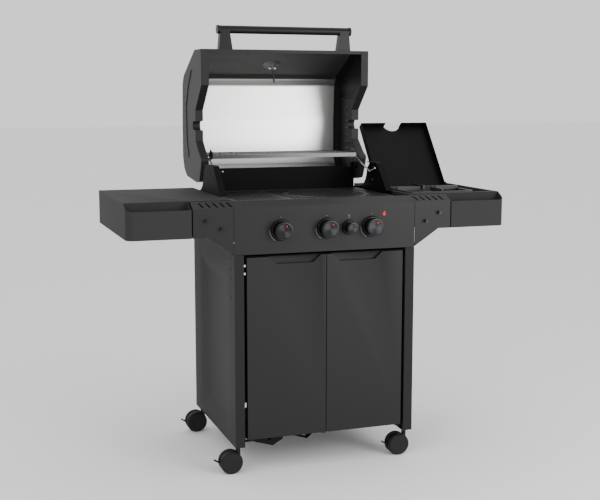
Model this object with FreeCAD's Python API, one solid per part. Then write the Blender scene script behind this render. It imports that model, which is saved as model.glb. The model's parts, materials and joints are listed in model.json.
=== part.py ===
"""A gas barbecue grill on a two-door cabinet with casters, side shelves and a side burner.

Millimetres. +X is to the right seen from the front, +Y to the back, +Z up. The origin is on the floor,
under the middle of the whole object as it stands with its main lid open. All pieces are first built
with Y measured from the front face of the control panel, and are moved to the origin when written.
"""
import FreeCAD, Part
import math
import os

os.makedirs("parts", exist_ok=True)

V = FreeCAD.Vector

# ---------------------------------------------------------------- driving dimensions
shelf_width = 342.0            # one side shelf, from the cabinet side to its outer face
cabinet_width = 630.0
cabinet_depth = 545.0
cabinet_height = 638.0        # from the caster plates to the lower edge of the control panel
shelf_depth = 548.0
shelf_height = 114.0
sheet = 1.5                   # wall of the folded steel parts
cast_wall = 3.0               # wall of the cast firebox and lid ends
seat_gap = 0.3                # between a loose piece and what it rests on
joint_gap = 0.8               # shadow gap between neighbouring panels
running_fit = 0.05            # radial clearance of a pin that turns in a hole

# control panel and fascias
panel_height = 153.0
bevel_run = 37.0
bevel_rise = 18.0
panel_depth = 45.0
fascia_width = 132.0
fascia_rise = 60.0            # how far the fascia's outer end lies above its inner end
vent_slot_width = 6.5
vent_slot_pitch = 23.0
vent_slot_count = 5
hook_radius = 4.5
hook_length = 14.0

# shelves
shelf_wall = 2.0
bracket_inset = 120.0         # bracket centres from the shelf's front and rear ends
bracket_half = 12.0
bracket_low = 6.0             # underside of the brackets above the shelf's lower edge
bracket_height = 28.0
bracket_sheet = 2.0
bracket_short = 60.0          # how far the brackets end before the shelf's outer face
shelf_lift = 3.0              # shelf top above the control panel's top strip
pocket_depth = 54.0
pocket_floor_drop = 82.0
front_wall_drop = 24.0        # the pocket's front wall is this much lower than the shelf top
shelf_corner = 28.0
deck_drop = 12.0
deck_rim = 13.0
deck_front = 75.0

# cabinet
post_width = 32.0
rear_flange = 25.0
relief_bevel = 53.0
relief_depth = 13.0
relief_front = 85.0
relief_rear = 95.0
relief_low = 38.0
relief_high = 53.0
screw_hole_radius = 3.5
floor_lift = 24.0
back_panel_height = 570.0

# doors
door_gap = 1.2                # half the gap between the two doors
door_side_gap = 10.0
door_top_gap = 10.0
door_thickness = 16.5
door_face = 1.0               # the door's front face behind the panel's front face
handhold_inner = 19.0
handhold_outer = 200.0
handhold_slope = 28.0
handhold_height = 24.0
door_pin_radius = 4.0
door_pin_inset = 8.0

# firebox, burners and grates
firebox_gap = 4.0             # between the cabinet's outer face and the firebox's outer face
firebox_front = 50.0
firebox_burner_front = 84.0
firebox_rear = 474.0
rim_start = 183.0
rim_run = 88.5
rim_rise = 92.5
rim_flat_end = 372.0
flange_width = 18.0
grate_height = 12.0
grate_drop = 6.0              # top of the grates under the panel's top strip
grate_bar = 6.0
grate_pitch = 15.0
grate_frame = 9.0
insert_radius = 145.0
lift_off_margin = 20.0
rim_clearance = 1.5           # between the raised rim and the closed lid's ends
burner_radius = 13.0
burner_pitch = 158.0
tamer_half_width = 42.0
tamer_height = 24.0
tamer_crown = 5.0             # half the flat on top of a flame tamer
tamer_lift = 33.0             # ledges of the flame tamers above the burners
manifold_radius = 9.0
supply_radius = 5.0
supply_room = 1.0             # round the supply pipe where it passes a wall
manifold_y = 62.0

# knobs and valves
small_knob_x = 78.0
knob_drop = 95.0              # knob centres under the panel's top strip
knob_front = 38.0
knob_radius = 29.5
small_knob_radius = 19.5
bezel_margin = 5.5
stem_radius = 4.0
plug_radius = 9.0
valve_front = 8.0
valve_collar_radius = 12.0
stem_clearance = 3.0          # radial room round each stem in the panel

# lid
hinge_y = 479.0
hinge_lift = 75.0             # hinge axis above the panel's top strip
hinge_pin_radius = 5.0
cap_width = 28.0
handle_radius = 14.0
handle_half = 242.0
handle_reach = 68.5
handle_drop = 45.0
spit_radius = 16.0
thermometer_radius = 35.0
liner_sheet = 1.0
liner_bend_y = 504.0          # the liner's rear part runs from this bend down to its low edge
liner_bend_z = 1137.0
liner_low_y = 517.5
liner_low_z = 993.0
lid_screw_radius = 3.5
lid_screw_height = 3.0

# warming rack, in the open pose
leg_rise = 50.5               # from the legs' pivot up to the rack's pivot
leg_run = 152.3
leg_below_hinge = 10.5
leg_behind_rim = 120.7        # the legs' pivot behind the start of the raised rim
rack_ahead = 31.0             # the rack's front bar ahead of its pivot
rack_behind = 184.0
leg_radius = 3.0
rack_rod = 2.2
rack_pitch = 20.0

# side burner
burner_lid_width = 273.0
burner_lid_length = 278.0
burner_lid_depth = 26.0
burner_lid_front = 122.0
burner_lid_open = 128.0
notch_half = 32.5
notch_depth = 22.0
side_pin_radius = 3.0
bowl_size = 240.0

# grease tray
tray_half = 155.0
tray_height = 20.0

# casters
wheel_radius = 37.5
caster_plate_gap = 15.0       # between the top of a wheel and the cabinet's foot
caster_trail = 26.0
caster_inset_x = 16.0
caster_inset_y = 32.0
wheel_width = 16.5
wheel_inner = 8.5
axle_radius = 4.0
swivel_radius = 5.5
lever_pin_radius = 2.0

# ---------------------------------------------------------------- places that follow from them
half = cabinet_width / 2
base_z = 2 * wheel_radius + caster_plate_gap
panel_z0 = base_z + cabinet_height
panel_z1 = panel_z0 + panel_height
strip_z = panel_z1 + bevel_rise
shelf_z = strip_z + shelf_lift
shelf_z0 = shelf_z - shelf_height
side_top = panel_z1 - 11
shelf_inner = half + joint_gap
shelf_outer = half + 1 + shelf_width
fascia_inner = half + joint_gap
fascia_outer = half + 1 + fascia_width
tray_inner = fascia_outer + 4
deck_z = shelf_z - deck_drop
deck_middle = (shelf_inner + shelf_outer) / 2
knob_z = strip_z - knob_drop
burner_z = knob_z
tamer_z = burner_z + tamer_lift
door_z0 = base_z + floor_lift
door_z1 = panel_z0 - door_top_gap
door_outer = half - post_width - door_side_gap
door_pin_x = door_outer - door_pin_inset
door_pin_y = door_face + door_pin_inset
door_back = door_face + door_thickness
door_swing = math.hypot(door_pin_inset, door_back - door_pin_y)
floor_front = door_pin_y + door_swing + joint_gap
firebox_outer = half - firebox_gap
firebox_inner = firebox_outer - cast_wall
firebox_z0 = panel_z0 + 32
rim_z0 = strip_z + 5
rim_z1 = rim_z0 + rim_rise
grate_z1 = strip_z - grate_drop
grate_z0 = grate_z1 - grate_height
grate_y0 = firebox_front + 4
grate_y1 = firebox_rear - 5
grate_outer = firebox_inner - lift_off_margin
grate_split = -grate_outer / 3
insert_x = (grate_split + grate_outer) / 2
insert_y = (grate_y0 + grate_y1) / 2
hinge_z = strip_z + hinge_lift
cap_outer = half - 1
cap_inner = cap_outer - cap_width
cap_clearance = 76.0          # free radius round the hinge that the turning lid ends need
lid_front = 59.0
lid_z0 = strip_z + 8.7
lid_z1 = lid_z0 + 296
knobs = [
    ("left", -burner_pitch, knob_radius),
    ("middle", 0.0, knob_radius),
    ("side_burner", small_knob_x, small_knob_radius),
    ("right", burner_pitch, knob_radius),
]
lid_lift_z = lid_z0 - 907.7   # the lid's outline is drawn for a rim at 907.7
rim_slope = rim_run / rim_rise
liner_lean = (liner_low_y - liner_bend_y) / (liner_bend_z - liner_low_z)
rim_clearance_y = rim_clearance * math.hypot(rim_run, rim_rise) / rim_rise
side_lid_middle = deck_middle
side_lid_centre_y = burner_lid_front + burner_lid_length / 2
side_pin_y = burner_lid_front + burner_lid_length + 2
side_pin_z = deck_z + 12
leg_y = rim_start + leg_behind_rim
leg_z = hinge_z - leg_below_hinge
leg_x = cap_inner - 6
rack_pivot_y = leg_y + leg_run
rack_pivot_z = leg_z + leg_rise
rack_z = rack_pivot_z + 7.6
rack_half = cap_inner - 14
rack_front = rack_pivot_y - rack_ahead
rack_rear = rack_pivot_y + rack_behind
lid_back_open = hinge_y + lid_z1 - hinge_z
front_most = -knob_front
middle_y = (front_most + lid_back_open) / 2


# ---------------------------------------------------------------- drawing helpers
def box(x0, x1, y0, y1, z0, z1):
    return Part.makeBox(x1 - x0, y1 - y0, z1 - z0, V(x0, y0, z0))


def rod(start, end, radius):
    """A round bar from one point to another."""
    a = V(*start)
    b = V(*end)
    return Part.makeCylinder(radius, (b - a).Length, a, b - a)


def fuse(shapes):
    if len(shapes) == 1:
        return shapes[0]
    return shapes[0].fuse(shapes[1:]).removeSplitter()


def cut(shape, tools):
    for tool in tools:
        shape = shape.cut(tool)
    return shape


def mirrored(shape):
    return shape.mirror(V(0, 0, 0), V(1, 0, 0))


def outline(points, place):
    """A closed wire through (a, b) or (a, b, radius) corners; place turns (a, b) into a point in space."""
    count = len(points)
    corners = []
    for i in range(count):
        here = FreeCAD.Vector(points[i][0], points[i][1], 0)
        before = FreeCAD.Vector(points[i - 1][0], points[i - 1][1], 0) - here
        after = FreeCAD.Vector(points[(i + 1) % count][0], points[(i + 1) % count][1], 0) - here
        radius = points[i][2] if len(points[i]) > 2 else 0
        if radius <= 0:
            corners.append((here, here, here))
            continue
        angle = before.getAngle(after)
        back = radius / math.tan(angle / 2)
        first = here + before.normalize() * back
        last = here + after.normalize() * back
        inward = (before + after).normalize()
        middle = here + inward * (radius / math.sin(angle / 2) - radius)
        corners.append((first, middle, last))
    edges = []
    for i in range(count):
        first, middle, last = corners[i]
        following = corners[(i + 1) % count][0]
        if (first - last).Length > 1e-6:
            edges.append(Part.Arc(place(first), place(middle), place(last)).toShape())
        if (last - following).Length > 1e-6:
            edges.append(Part.makeLine(place(last), place(following)))
    return Part.Wire(edges)


def prism_x(points, x0, x1):
    """Extrudes a (y, z) outline from x0 to x1."""
    wire = outline(points, lambda p: V(x0, p.x, p.y))
    return Part.Face(wire).extrude(V(x1 - x0, 0, 0))


def prism_y(points, y0, y1):
    """Extrudes an (x, z) outline from y0 to y1."""
    wire = outline(points, lambda p: V(p.x, y0, p.y))
    return Part.Face(wire).extrude(V(0, y1 - y0, 0))


def prism_z(points, z0, z1):
    """Extrudes an (x, y) outline from z0 to z1."""
    wire = outline(points, lambda p: V(p.x, p.y, z0))
    return Part.Face(wire).extrude(V(0, 0, z1 - z0))


def band(path, thickness):
    """The closed outline of a folded sheet: the path on one side, its copy on the path's right on the other."""
    points = [V(p[0], p[1], 0) for p in path]
    radii = [p[2] if len(p) > 2 else 0 for p in path]
    other = []
    for i in range(len(points)):
        ways = []
        if i > 0:
            ways.append((points[i] - points[i - 1]).normalize())
        if i < len(points) - 1:
            ways.append((points[i + 1] - points[i]).normalize())
        sides = [V(w.y, -w.x, 0) for w in ways]
        if len(sides) == 1:
            shift = sides[0] * thickness
            radius = 0
        else:
            total = sides[0] + sides[1]
            shift = total * (thickness * 2 / total.dot(total))
            turn = ways[0].x * ways[1].y - ways[0].y * ways[1].x
            radius = radii[i] + (thickness if turn > 0 else -thickness)
        other.append((points[i].x + shift.x, points[i].y + shift.y, radius if radii[i] > 0 else 0))
    return [tuple(p) for p in path] + other[::-1]


def turned_lid(shape):
    """Carries a piece of the closed lid to its open rest pose, a quarter turn about the hinge."""
    return shape.copy().rotate(V(0, hinge_y, hinge_z), V(1, 0, 0), -90)


def lathe(points, centre_x, centre_z):
    """Turns a (radius, y) outline about the axis along Y through the given x and z."""
    wire = outline(points, lambda p: V(centre_x + p.x, p.y, centre_z))
    return Part.Face(wire).revolve(V(centre_x, 0, centre_z), V(0, 1, 0), 360)


def write(node, shapes):
    """Writes one node, moved so that the origin is under the middle of the object."""
    solids = []
    for shape in shapes:
        solids.extend(shape.Solids)
    joined = Part.makeCompound(solids)
    joined.translate(V(0, -middle_y, 0))
    joined.exportStep("parts/" + node + ".step")


# ---------------------------------------------------------------- cabinet
def side_panel():
    """Folded side wall with a front post, a rear flange, a foot flange and a pressed relief."""
    inner = half - sheet
    wall = box(inner, half, 0, cabinet_depth, base_z, side_top)
    post = box(half - post_width, half, 0, sheet, base_z, panel_z0 - joint_gap)
    lip = box(half - post_width, half - post_width + sheet, 0, 14, base_z, panel_z0 - joint_gap)
    rear = box(half - rear_flange, half, cabinet_depth - sheet, cabinet_depth, base_z, side_top)
    foot = box(half - post_width, half, 0, cabinet_depth, base_z, base_z + sheet)
    body = fuse([wall, post, lip, rear, foot])
    low = base_z + relief_low
    high = panel_z0 - relief_high
    far = cabinet_depth - relief_rear

    def frustum(margin, depth, start):
        def loop(x, inset):
            corners = [(relief_front + inset, low + inset), (far - inset, low + inset)]
            corners += [(far - inset, high - inset), (relief_front + inset, high - inset)]
            return outline(corners, lambda p: V(x, p.x, p.y))

        return Part.makeLoft([loop(start, -margin), loop(half - depth, relief_bevel - margin)], True, True)

    hollow = frustum(0, relief_depth, half)
    pressed = frustum(sheet, relief_depth + sheet, half).cut(hollow)
    body = body.cut(frustum(0, relief_depth, half)).fuse(pressed).removeSplitter()
    notch = box(half - post_width - 1, half + 1, -1, panel_depth + joint_gap, panel_z0 - joint_gap, side_top + 1)
    holes = []
    for drop in (14, 49, 81, 145):
        z = panel_z0 - drop
        holes.append(rod((inner - 1, 41, z), (half + 1, 41, z), screw_hole_radius))
    supply = rod((inner - 1, manifold_y, burner_z), (half + 1, manifold_y, burner_z), 7)
    return cut(body, [notch, supply] + holes)


def back_panel():
    """Rear sheet behind the flanges, with two rows of vent slots and a hose opening."""
    inner = half - sheet
    y1 = cabinet_depth - sheet
    top = base_z + back_panel_height
    body = box(-inner, inner, y1 - sheet, y1, base_z + sheet, top)
    tools = [rod((-inner + 70, y1 - 5, base_z + 90), (-inner + 70, y1 + 5, base_z + 90), 28)]
    for row in (60, 90):
        for i in range(-5, 6):
            x = i * 42
            slot = [(x - 14, top - row), (x + 14, top - row), (x + 14, top - row + 8), (x - 14, top - row + 8)]
            tools.append(prism_y(slot, y1 - 5, y1 + 5))
    stiffener = box(-inner + 40, inner - 40, y1 - sheet - 8, y1 - sheet, top - sheet, top)
    return cut(body, tools).fuse(stiffener).removeSplitter()


def bottom_panel():
    """Cabinet floor with turned-up lips and the opening for the bottle trough."""
    inner = half - sheet
    y0 = floor_front
    y1 = cabinet_depth - 2 * sheet
    z0 = base_z + floor_lift
    plate = box(-inner, inner, y0, y1, z0, z0 + sheet)
    lips = [box(-inner, inner, y0, y0 + sheet, z0, z0 + 12), box(-inner, inner, y1 - sheet, y1, z0, z0 + 12)]
    opening = box(-inner + 66, -inner + 166, y0 + 20, 420, z0 - 1, z0 + 3)
    return fuse([plate] + lips).cut(opening)


def bottle_trough():
    """Folded trough under the cabinet floor, its pierced front lip, and the zigzag bottle strap."""
    top = base_z + floor_lift
    y0 = floor_front
    left = -half + 66
    path = [(left, top), (left, top - 14), (left + 68, top - 34), (left + 103, top - 13), (left + 103, top)]
    trough = prism_y(band(path, -sheet), y0, 425)
    lip = prism_y(path, y0, y0 + sheet)
    lip = lip.cut(rod((left + 56, y0 - 1, top - 9), (left + 56, y0 + 5, top - 9), 5))
    strap_path = [(-131, top), (-131, top - 9), (-47, top - 36), (-22, top - 14), (18, top - 24), (18, top)]
    strap = prism_y(band(strap_path, -3.0), 60, 84)
    return [fuse([trough, lip]), strap]


def door_head_rail():
    """Rail over the doors that holds their upper pins and the magnet catches."""
    inner = half - sheet
    reach = half - post_width
    head = box(-reach, reach, 4, 40, door_z1 + 2.3, door_z1 + 2.3 + sheet)
    web = box(-inner, inner, 38.5, 40, door_z1 - 18, panel_z0 - seat_gap)
    return fuse([head, web])


def cabinet_rails():
    """Rear rail, the two runners of the grease tray and the lower hinge ears."""
    inner = half - sheet
    reach = half - post_width
    rear_low = base_z + back_panel_height + 4
    rear = box(-inner, inner, cabinet_depth - 26, cabinet_depth - 2 * sheet, rear_low, rear_low + 26)
    rear = rear.cut(box(-inner, inner, cabinet_depth - 24, cabinet_depth - 5, rear_low + 2, rear_low + 24))
    pieces = [rear]
    runner_z = rear_low + 26
    for side in (-1, 1):
        x0, x1 = sorted((side * (tray_half + 2), side * (tray_half + 3.5)))
        upright = box(x0, x1, 40, cabinet_depth - 2 * sheet, runner_z, runner_z + 22)
        a, b = sorted((side * (tray_half - 10), side * (tray_half + 3.5)))
        ledge = box(a, b, 40, cabinet_depth - 2 * sheet, runner_z, runner_z + sheet)
        pieces.append(fuse([upright, ledge]))
        a, b = sorted((side * (door_pin_x - 8), side * reach))
        pieces.append(box(a, b, 3, 20, door_z0 - 6, door_z0 - 4))
    return pieces


def hinge_pins():
    """Bright pins: four for the doors, two for the lid and two for the side burner's lid."""
    pieces = []
    for side in (-1, 1):
        x = side * door_pin_x
        pieces.append(rod((x, door_pin_y, door_z1 - 10), (x, door_pin_y, door_z1 + 2.3), door_pin_radius))
        low = rod((x, door_pin_y, door_z0 - 4), (x, door_pin_y, door_z0 + 10), door_pin_radius)
        collar = rod((x, door_pin_y, door_z0 - 4), (x, door_pin_y, door_z0 - 0.4), door_pin_radius + 3)
        pieces.append(fuse([low, collar]))
        inside = side * (cap_inner - 16)
        outside = side * (cap_outer - cast_wall - 2)
        pin = rod((inside, hinge_y, hinge_z), (outside, hinge_y, hinge_z), hinge_pin_radius)
        head = rod((inside, hinge_y, hinge_z), (inside + side * 4, hinge_y, hinge_z), hinge_pin_radius + 4)
        pieces.append(fuse([pin, head]))
        near = side_lid_middle + side * (burner_lid_width / 2 - 3)
        far = side_lid_middle + side * (burner_lid_width / 2 + 8)
        pieces.append(rod((near, side_pin_y, side_pin_z), (far, side_pin_y, side_pin_z), side_pin_radius))
    return pieces


def magnet_catches():
    pieces = []
    for side in (-1, 1):
        x0, x1 = sorted((side * 12, side * 42))
        pieces.append(box(x0, x1, door_back + 1, 38.5, door_z1 - 16, door_z1 - 2))
    return pieces


def door():
    """Right-hand door: a folded tray with a trapezoid hand-hold in its top edge."""
    z0 = door_z0
    z1 = door_z1
    y0 = door_face
    y1 = door_back
    body = box(door_gap, door_outer, y0, y1, z0, z1)
    hollow = box(door_gap + sheet, door_outer - sheet, y0 + sheet, y1 - sheet, z0 + sheet, z1 - sheet)
    opening = box(door_gap + 14, door_outer - 14, y1 - 2 * sheet, y1 + 1, z0 + 14, z1 - 40)
    body = cut(body, [hollow, opening])
    low = z1 - handhold_height

    def trapezoid(grow, top):
        return [
            (handhold_inner - grow, top),
            (handhold_inner + handhold_slope - grow / 2, low - grow),
            (handhold_outer - handhold_slope + grow / 2, low - grow),
            (handhold_outer + grow, top),
        ]

    liner = prism_y(trapezoid(sheet, z1), y0, y1)
    pocket = prism_y(trapezoid(0, z1 + 1), y0 - 1, y1 - sheet)
    body = fuse([body, liner]).cut(pocket)
    bore = rod((door_pin_x, door_pin_y, z0 - 1), (door_pin_x, door_pin_y, z1 + 1), door_pin_radius + running_fit)
    return body.cut(bore)


# ---------------------------------------------------------------- control panel and fascias
def control_panel():
    """Front panel with a bevelled top strip and a hole for each valve stem."""
    path = [
        (40, panel_z0),
        (0, panel_z0),
        (0, panel_z1),
        (bevel_run, strip_z),
        (panel_depth, strip_z),
        (panel_depth, strip_z - 9),
    ]
    body = prism_x(band(path, sheet), -half, half)
    return cut(body, [rod((x, -1, knob_z), (x, 5, knob_z), stem_radius + stem_clearance) for _, x, _ in knobs])


def fascia(vent_lean):
    """Right-hand fascia beside the control panel; vent_lean slants its five vent slots."""
    low = panel_z0 + 2
    high = low + fascia_rise - 2
    knee = fascia_outer - 44
    front = [(fascia_inner, low), (knee, high), (fascia_outer, high)]
    front += [(fascia_outer, panel_z1), (fascia_inner, panel_z1)]
    face = prism_y(front, 0, sheet)
    under = prism_y(band([(fascia_outer, high), (knee, high), (fascia_inner, low)], sheet), 0, 32)
    top = [(0, panel_z1 - 2), (0, panel_z1), (bevel_run, strip_z), (firebox_front, strip_z)]
    strip = prism_x(band(top, sheet), fascia_inner, fascia_outer)
    end = [(0, high), (firebox_front, high), (firebox_front, strip_z), (bevel_run, strip_z), (0, panel_z1)]
    side = prism_x(end, fascia_outer - sheet, fascia_outer)
    slots = []
    for i in range(vent_slot_count):
        x = half + 11 + i * vent_slot_pitch
        a = x - vent_slot_width / 2
        b = x + vent_slot_width / 2
        loop = [(a + vent_lean, 6), (b + vent_lean, 6), (b - vent_lean, 32), (a - vent_lean, 32)]
        slots.append(prism_z(loop, panel_z1 - 6, strip_z + 5))
    seats = [rod((x, -1, z), (x, 5, z), hook_radius) for x, z in hook_places()]
    return cut(fuse([face, under, strip, side]), slots + seats)


def hook_places():
    return [(half + 89.5, knob_z + 38), (half + 40.5, knob_z + 11)]


def fascia_hooks():
    """Four stub hooks for tools, two on each fascia."""
    pieces = []
    for side in (-1, 1):
        for x, z in hook_places():
            stem = rod((side * x, 6, z), (side * x, -hook_length, z), hook_radius)
            head = rod((side * x, -hook_length, z), (side * x, -hook_length + 4, z), hook_radius + 1.5)
            pieces.append(fuse([stem, head]))
    return pieces


# ---------------------------------------------------------------- side shelves
def shelf_block(margin, z0, z1):
    """The shelf's plan, drawn in by a margin: a rectangle with a step round the fascia."""
    a = shelf_inner + margin
    b = shelf_outer - margin
    step = tray_inner + margin
    corner = shelf_corner - margin
    points = [
        (a, firebox_front + margin),
        (step, firebox_front + margin),
        (step, margin),
        (b, margin, corner),
        (b, shelf_depth - margin, 10 - margin),
        (a, shelf_depth - margin),
    ]
    return prism_z(points, z0, z1)


def side_shelf():
    """Right-hand shelf with the condiment pocket in front; its plain top is cut later for the burner."""
    body = shelf_block(0, shelf_z0, shelf_z).cut(shelf_block(shelf_wall, shelf_z0 - 1, shelf_z - shelf_wall))
    pocket_z = shelf_z - pocket_floor_drop
    pocket_block = shelf_block(0, pocket_z - shelf_wall, shelf_z)
    reach = box(tray_inner, shelf_outer, 0, pocket_depth, pocket_z - shelf_wall, shelf_z)
    cavity = shelf_block(shelf_wall, pocket_z, shelf_z + 1)
    space = box(tray_inner + shelf_wall, shelf_outer, 0, pocket_depth - shelf_wall, pocket_z, shelf_z + 1)
    body = fuse([body, pocket_block.common(reach)]).cut(cavity.common(space))
    drop_z = shelf_z - front_wall_drop
    start = V(0, pocket_depth - shelf_wall, shelf_z + 0.01)
    middle = V(0, 20, drop_z + 7)
    end = V(0, 5, drop_z)
    edges = [Part.Arc(start, middle, end).toShape()]
    corners = [end, V(0, -2, drop_z), V(0, -2, shelf_z + 2), V(0, pocket_depth - shelf_wall, shelf_z + 2), start]
    for a, b in zip(corners, corners[1:]):
        edges.append(Part.makeLine(a, b))
    scoop = Part.Face(Part.Wire(edges)).extrude(V(shelf_outer, 0, 0))
    scoop.translate(V(tray_inner - 1, 0, 0))
    return cut(body, [scoop] + bracket_notches())


def shelf_brackets():
    """Two cantilever channels that carry the shelf on the cabinet side."""
    pieces = []
    z0 = shelf_z0 + bracket_low
    z1 = z0 + bracket_height
    end = shelf_outer - bracket_short
    room = bracket_half - bracket_sheet
    for y in bracket_places():
        arm = box(half, end, y - bracket_half, y + bracket_half, z0, z1)
        hollow = box(half - 1, end + 1, y - room, y + room, z0 + bracket_sheet, z1 + 1)
        passage = rod((side_lid_middle, y - bracket_half - 1, burner_z), (side_lid_middle, y + bracket_half + 1, burner_z),
                      supply_radius + supply_room)
        pieces.append(cut(arm, [hollow, passage]))
    return pieces


def bracket_places():
    return (bracket_inset, shelf_depth - bracket_inset)


def bracket_notches():
    """Openings in the shelf's inner wall for the brackets to pass through, open at the lower edge."""
    reach = bracket_half + seat_gap
    top = shelf_z0 + bracket_low + bracket_height + seat_gap
    tools = []
    for y in bracket_places():
        tools.append(box(shelf_inner - 1, shelf_inner + shelf_wall + 1, y - reach, y + reach, shelf_z0 - 1, top))
    return tools


def burner_shelf():
    """The right-hand shelf: a sunk deck with a raised rim, an opening for the bowl and the lid's brackets."""
    body = side_shelf()
    x0 = shelf_inner + deck_rim
    x1 = shelf_outer - deck_rim
    y1 = shelf_depth - deck_rim
    well = prism_z([(x0, deck_front, 8), (x1, deck_front, 8), (x1, y1, 8), (x0, y1, 8)], deck_z - shelf_wall, shelf_z)
    sunk = prism_z(
        [
            (x0 + shelf_wall, deck_front + shelf_wall, 6),
            (x1 - shelf_wall, deck_front + shelf_wall, 6),
            (x1 - shelf_wall, y1 - shelf_wall, 6),
            (x0 + shelf_wall, y1 - shelf_wall, 6),
        ],
        deck_z,
        shelf_z + 1,
    )
    body = fuse([body, well]).cut(sunk)
    opening = bowl_square(bowl_size / 2 - 1, deck_z - 5, deck_z + 5)
    body = body.cut(opening)
    supply = rod((half, manifold_y, burner_z), (shelf_inner + 5, manifold_y, burner_z), 7)
    body = body.cut(supply)
    brackets = []
    for side in (-1, 1):
        near = side_lid_middle + side * (burner_lid_width / 2 + 5)
        far = side_lid_middle + side * (burner_lid_width / 2 + 8)
        x0, x1 = sorted((near, far))
        foot = box(x0, x1, side_pin_y - 8, side_pin_y + 8, deck_z, side_pin_z)
        ear = rod((x0, side_pin_y, side_pin_z), (x1, side_pin_y, side_pin_z), 8)
        seat = rod((x0 - 1, side_pin_y, side_pin_z), (x1 + 1, side_pin_y, side_pin_z), side_pin_radius)
        brackets.append(fuse([foot, ear]).cut(seat))
    return [fuse([body] + brackets)]


def bowl_square(reach, z0, z1):
    """A rounded square about the side burner's middle."""
    x = side_lid_middle
    y = side_lid_centre_y
    return prism_z(
        [
            (x - reach, y - reach, 10),
            (x + reach, y - reach, 10),
            (x + reach, y + reach, 10),
            (x - reach, y + reach, 10),
        ],
        z0,
        z1,
    )


# ---------------------------------------------------------------- side burner

def side_burner():
    """Drip bowl, burner cup, cap and its upright supply neck."""
    depth = 40
    floor = deck_z - depth
    outside = bowl_square(bowl_size / 2 - 2, floor, deck_z)
    flange = bowl_square(bowl_size / 2 + 5, deck_z, deck_z + sheet)
    inside = bowl_square(bowl_size / 2 - 2 - sheet, floor + sheet, deck_z + 5)
    x = side_lid_middle
    y = side_lid_centre_y
    bore = rod((x, y, floor - 1), (x, y, floor + 3), 12)
    bowl = fuse([outside, flange]).cut(inside).cut(bore)
    neck = rod((x, y, burner_z + 5), (x, y, floor + 12), 12)
    cup = rod((x, y, floor + 12), (x, y, floor + 30), 40)
    cup = cup.cut(rod((x, y, floor + 15), (x, y, floor + 31), 37))
    cap = rod((x, y, floor + 30), (x, y, floor + 36), 41)
    crown = rod((x, y, floor + 36), (x, y, floor + 39), 32)
    return [bowl, fuse([neck, cup]), fuse([cap, crown])]


def pan_support():
    """Cast square frame with four raised fingers that carry the pan."""
    reach = bowl_size / 2 + 3
    z0 = deck_z + sheet + seat_gap
    frame = bowl_square(reach, z0, z0 + 8).cut(bowl_square(reach - 8, z0 - 1, z0 + 9))
    x = side_lid_middle
    y = side_lid_centre_y
    fingers = []
    for dx, dy in ((1, 0), (-1, 0), (0, 1), (0, -1)):
        a = (x + dx * 30 - 4 * abs(dy), y + dy * 30 - 4 * abs(dx))
        b = (x + dx * (reach - 2) + 4 * abs(dy), y + dy * (reach - 2) + 4 * abs(dx))
        xs = sorted((a[0], b[0]))
        ys = sorted((a[1], b[1]))
        fingers.append(box(xs[0], xs[1], ys[0], ys[1], z0 + 2, z0 + 17))
    return [fuse([frame] + fingers)]


def side_burner_lid():
    """Shallow folded lid with an arched notch in its free edge, leaning back on its pins."""
    x0 = side_lid_middle - burner_lid_width / 2
    x1 = side_lid_middle + burner_lid_width / 2
    y0 = burner_lid_front
    y1 = burner_lid_front + burner_lid_length
    z0 = deck_z + 0.5
    z1 = deck_z + 0.5 + burner_lid_depth
    body = box(x0, x1, y0, y1, z0, z1).cut(box(x0 + sheet, x1 - sheet, y0 + sheet, y1 + 1, z0 - 1, z1 - sheet))
    ears = []
    bores = []
    for a in (x0, x1 - sheet):
        ears.append(box(a, a + sheet, y1 - 1, side_pin_y, side_pin_z - 7, z1 - 4))
        ears.append(rod((a, side_pin_y, side_pin_z), (a + sheet, side_pin_y, side_pin_z), 7))
        bore = side_pin_radius + running_fit
        bores.append(rod((a - 1, side_pin_y, side_pin_z), (a + 3, side_pin_y, side_pin_z), bore))
    radius = (notch_half ** 2 + notch_depth ** 2) / (2 * notch_depth)
    centre_y = y0 + notch_depth - radius
    notch = rod((side_lid_middle - 3, centre_y, z0 - 2), (side_lid_middle - 3, centre_y, z1 + 2), radius)
    body = cut(fuse([body] + ears), bores + [notch])
    return [body.rotate(V(0, side_pin_y, side_pin_z), V(1, 0, 0), -burner_lid_open)]


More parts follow.
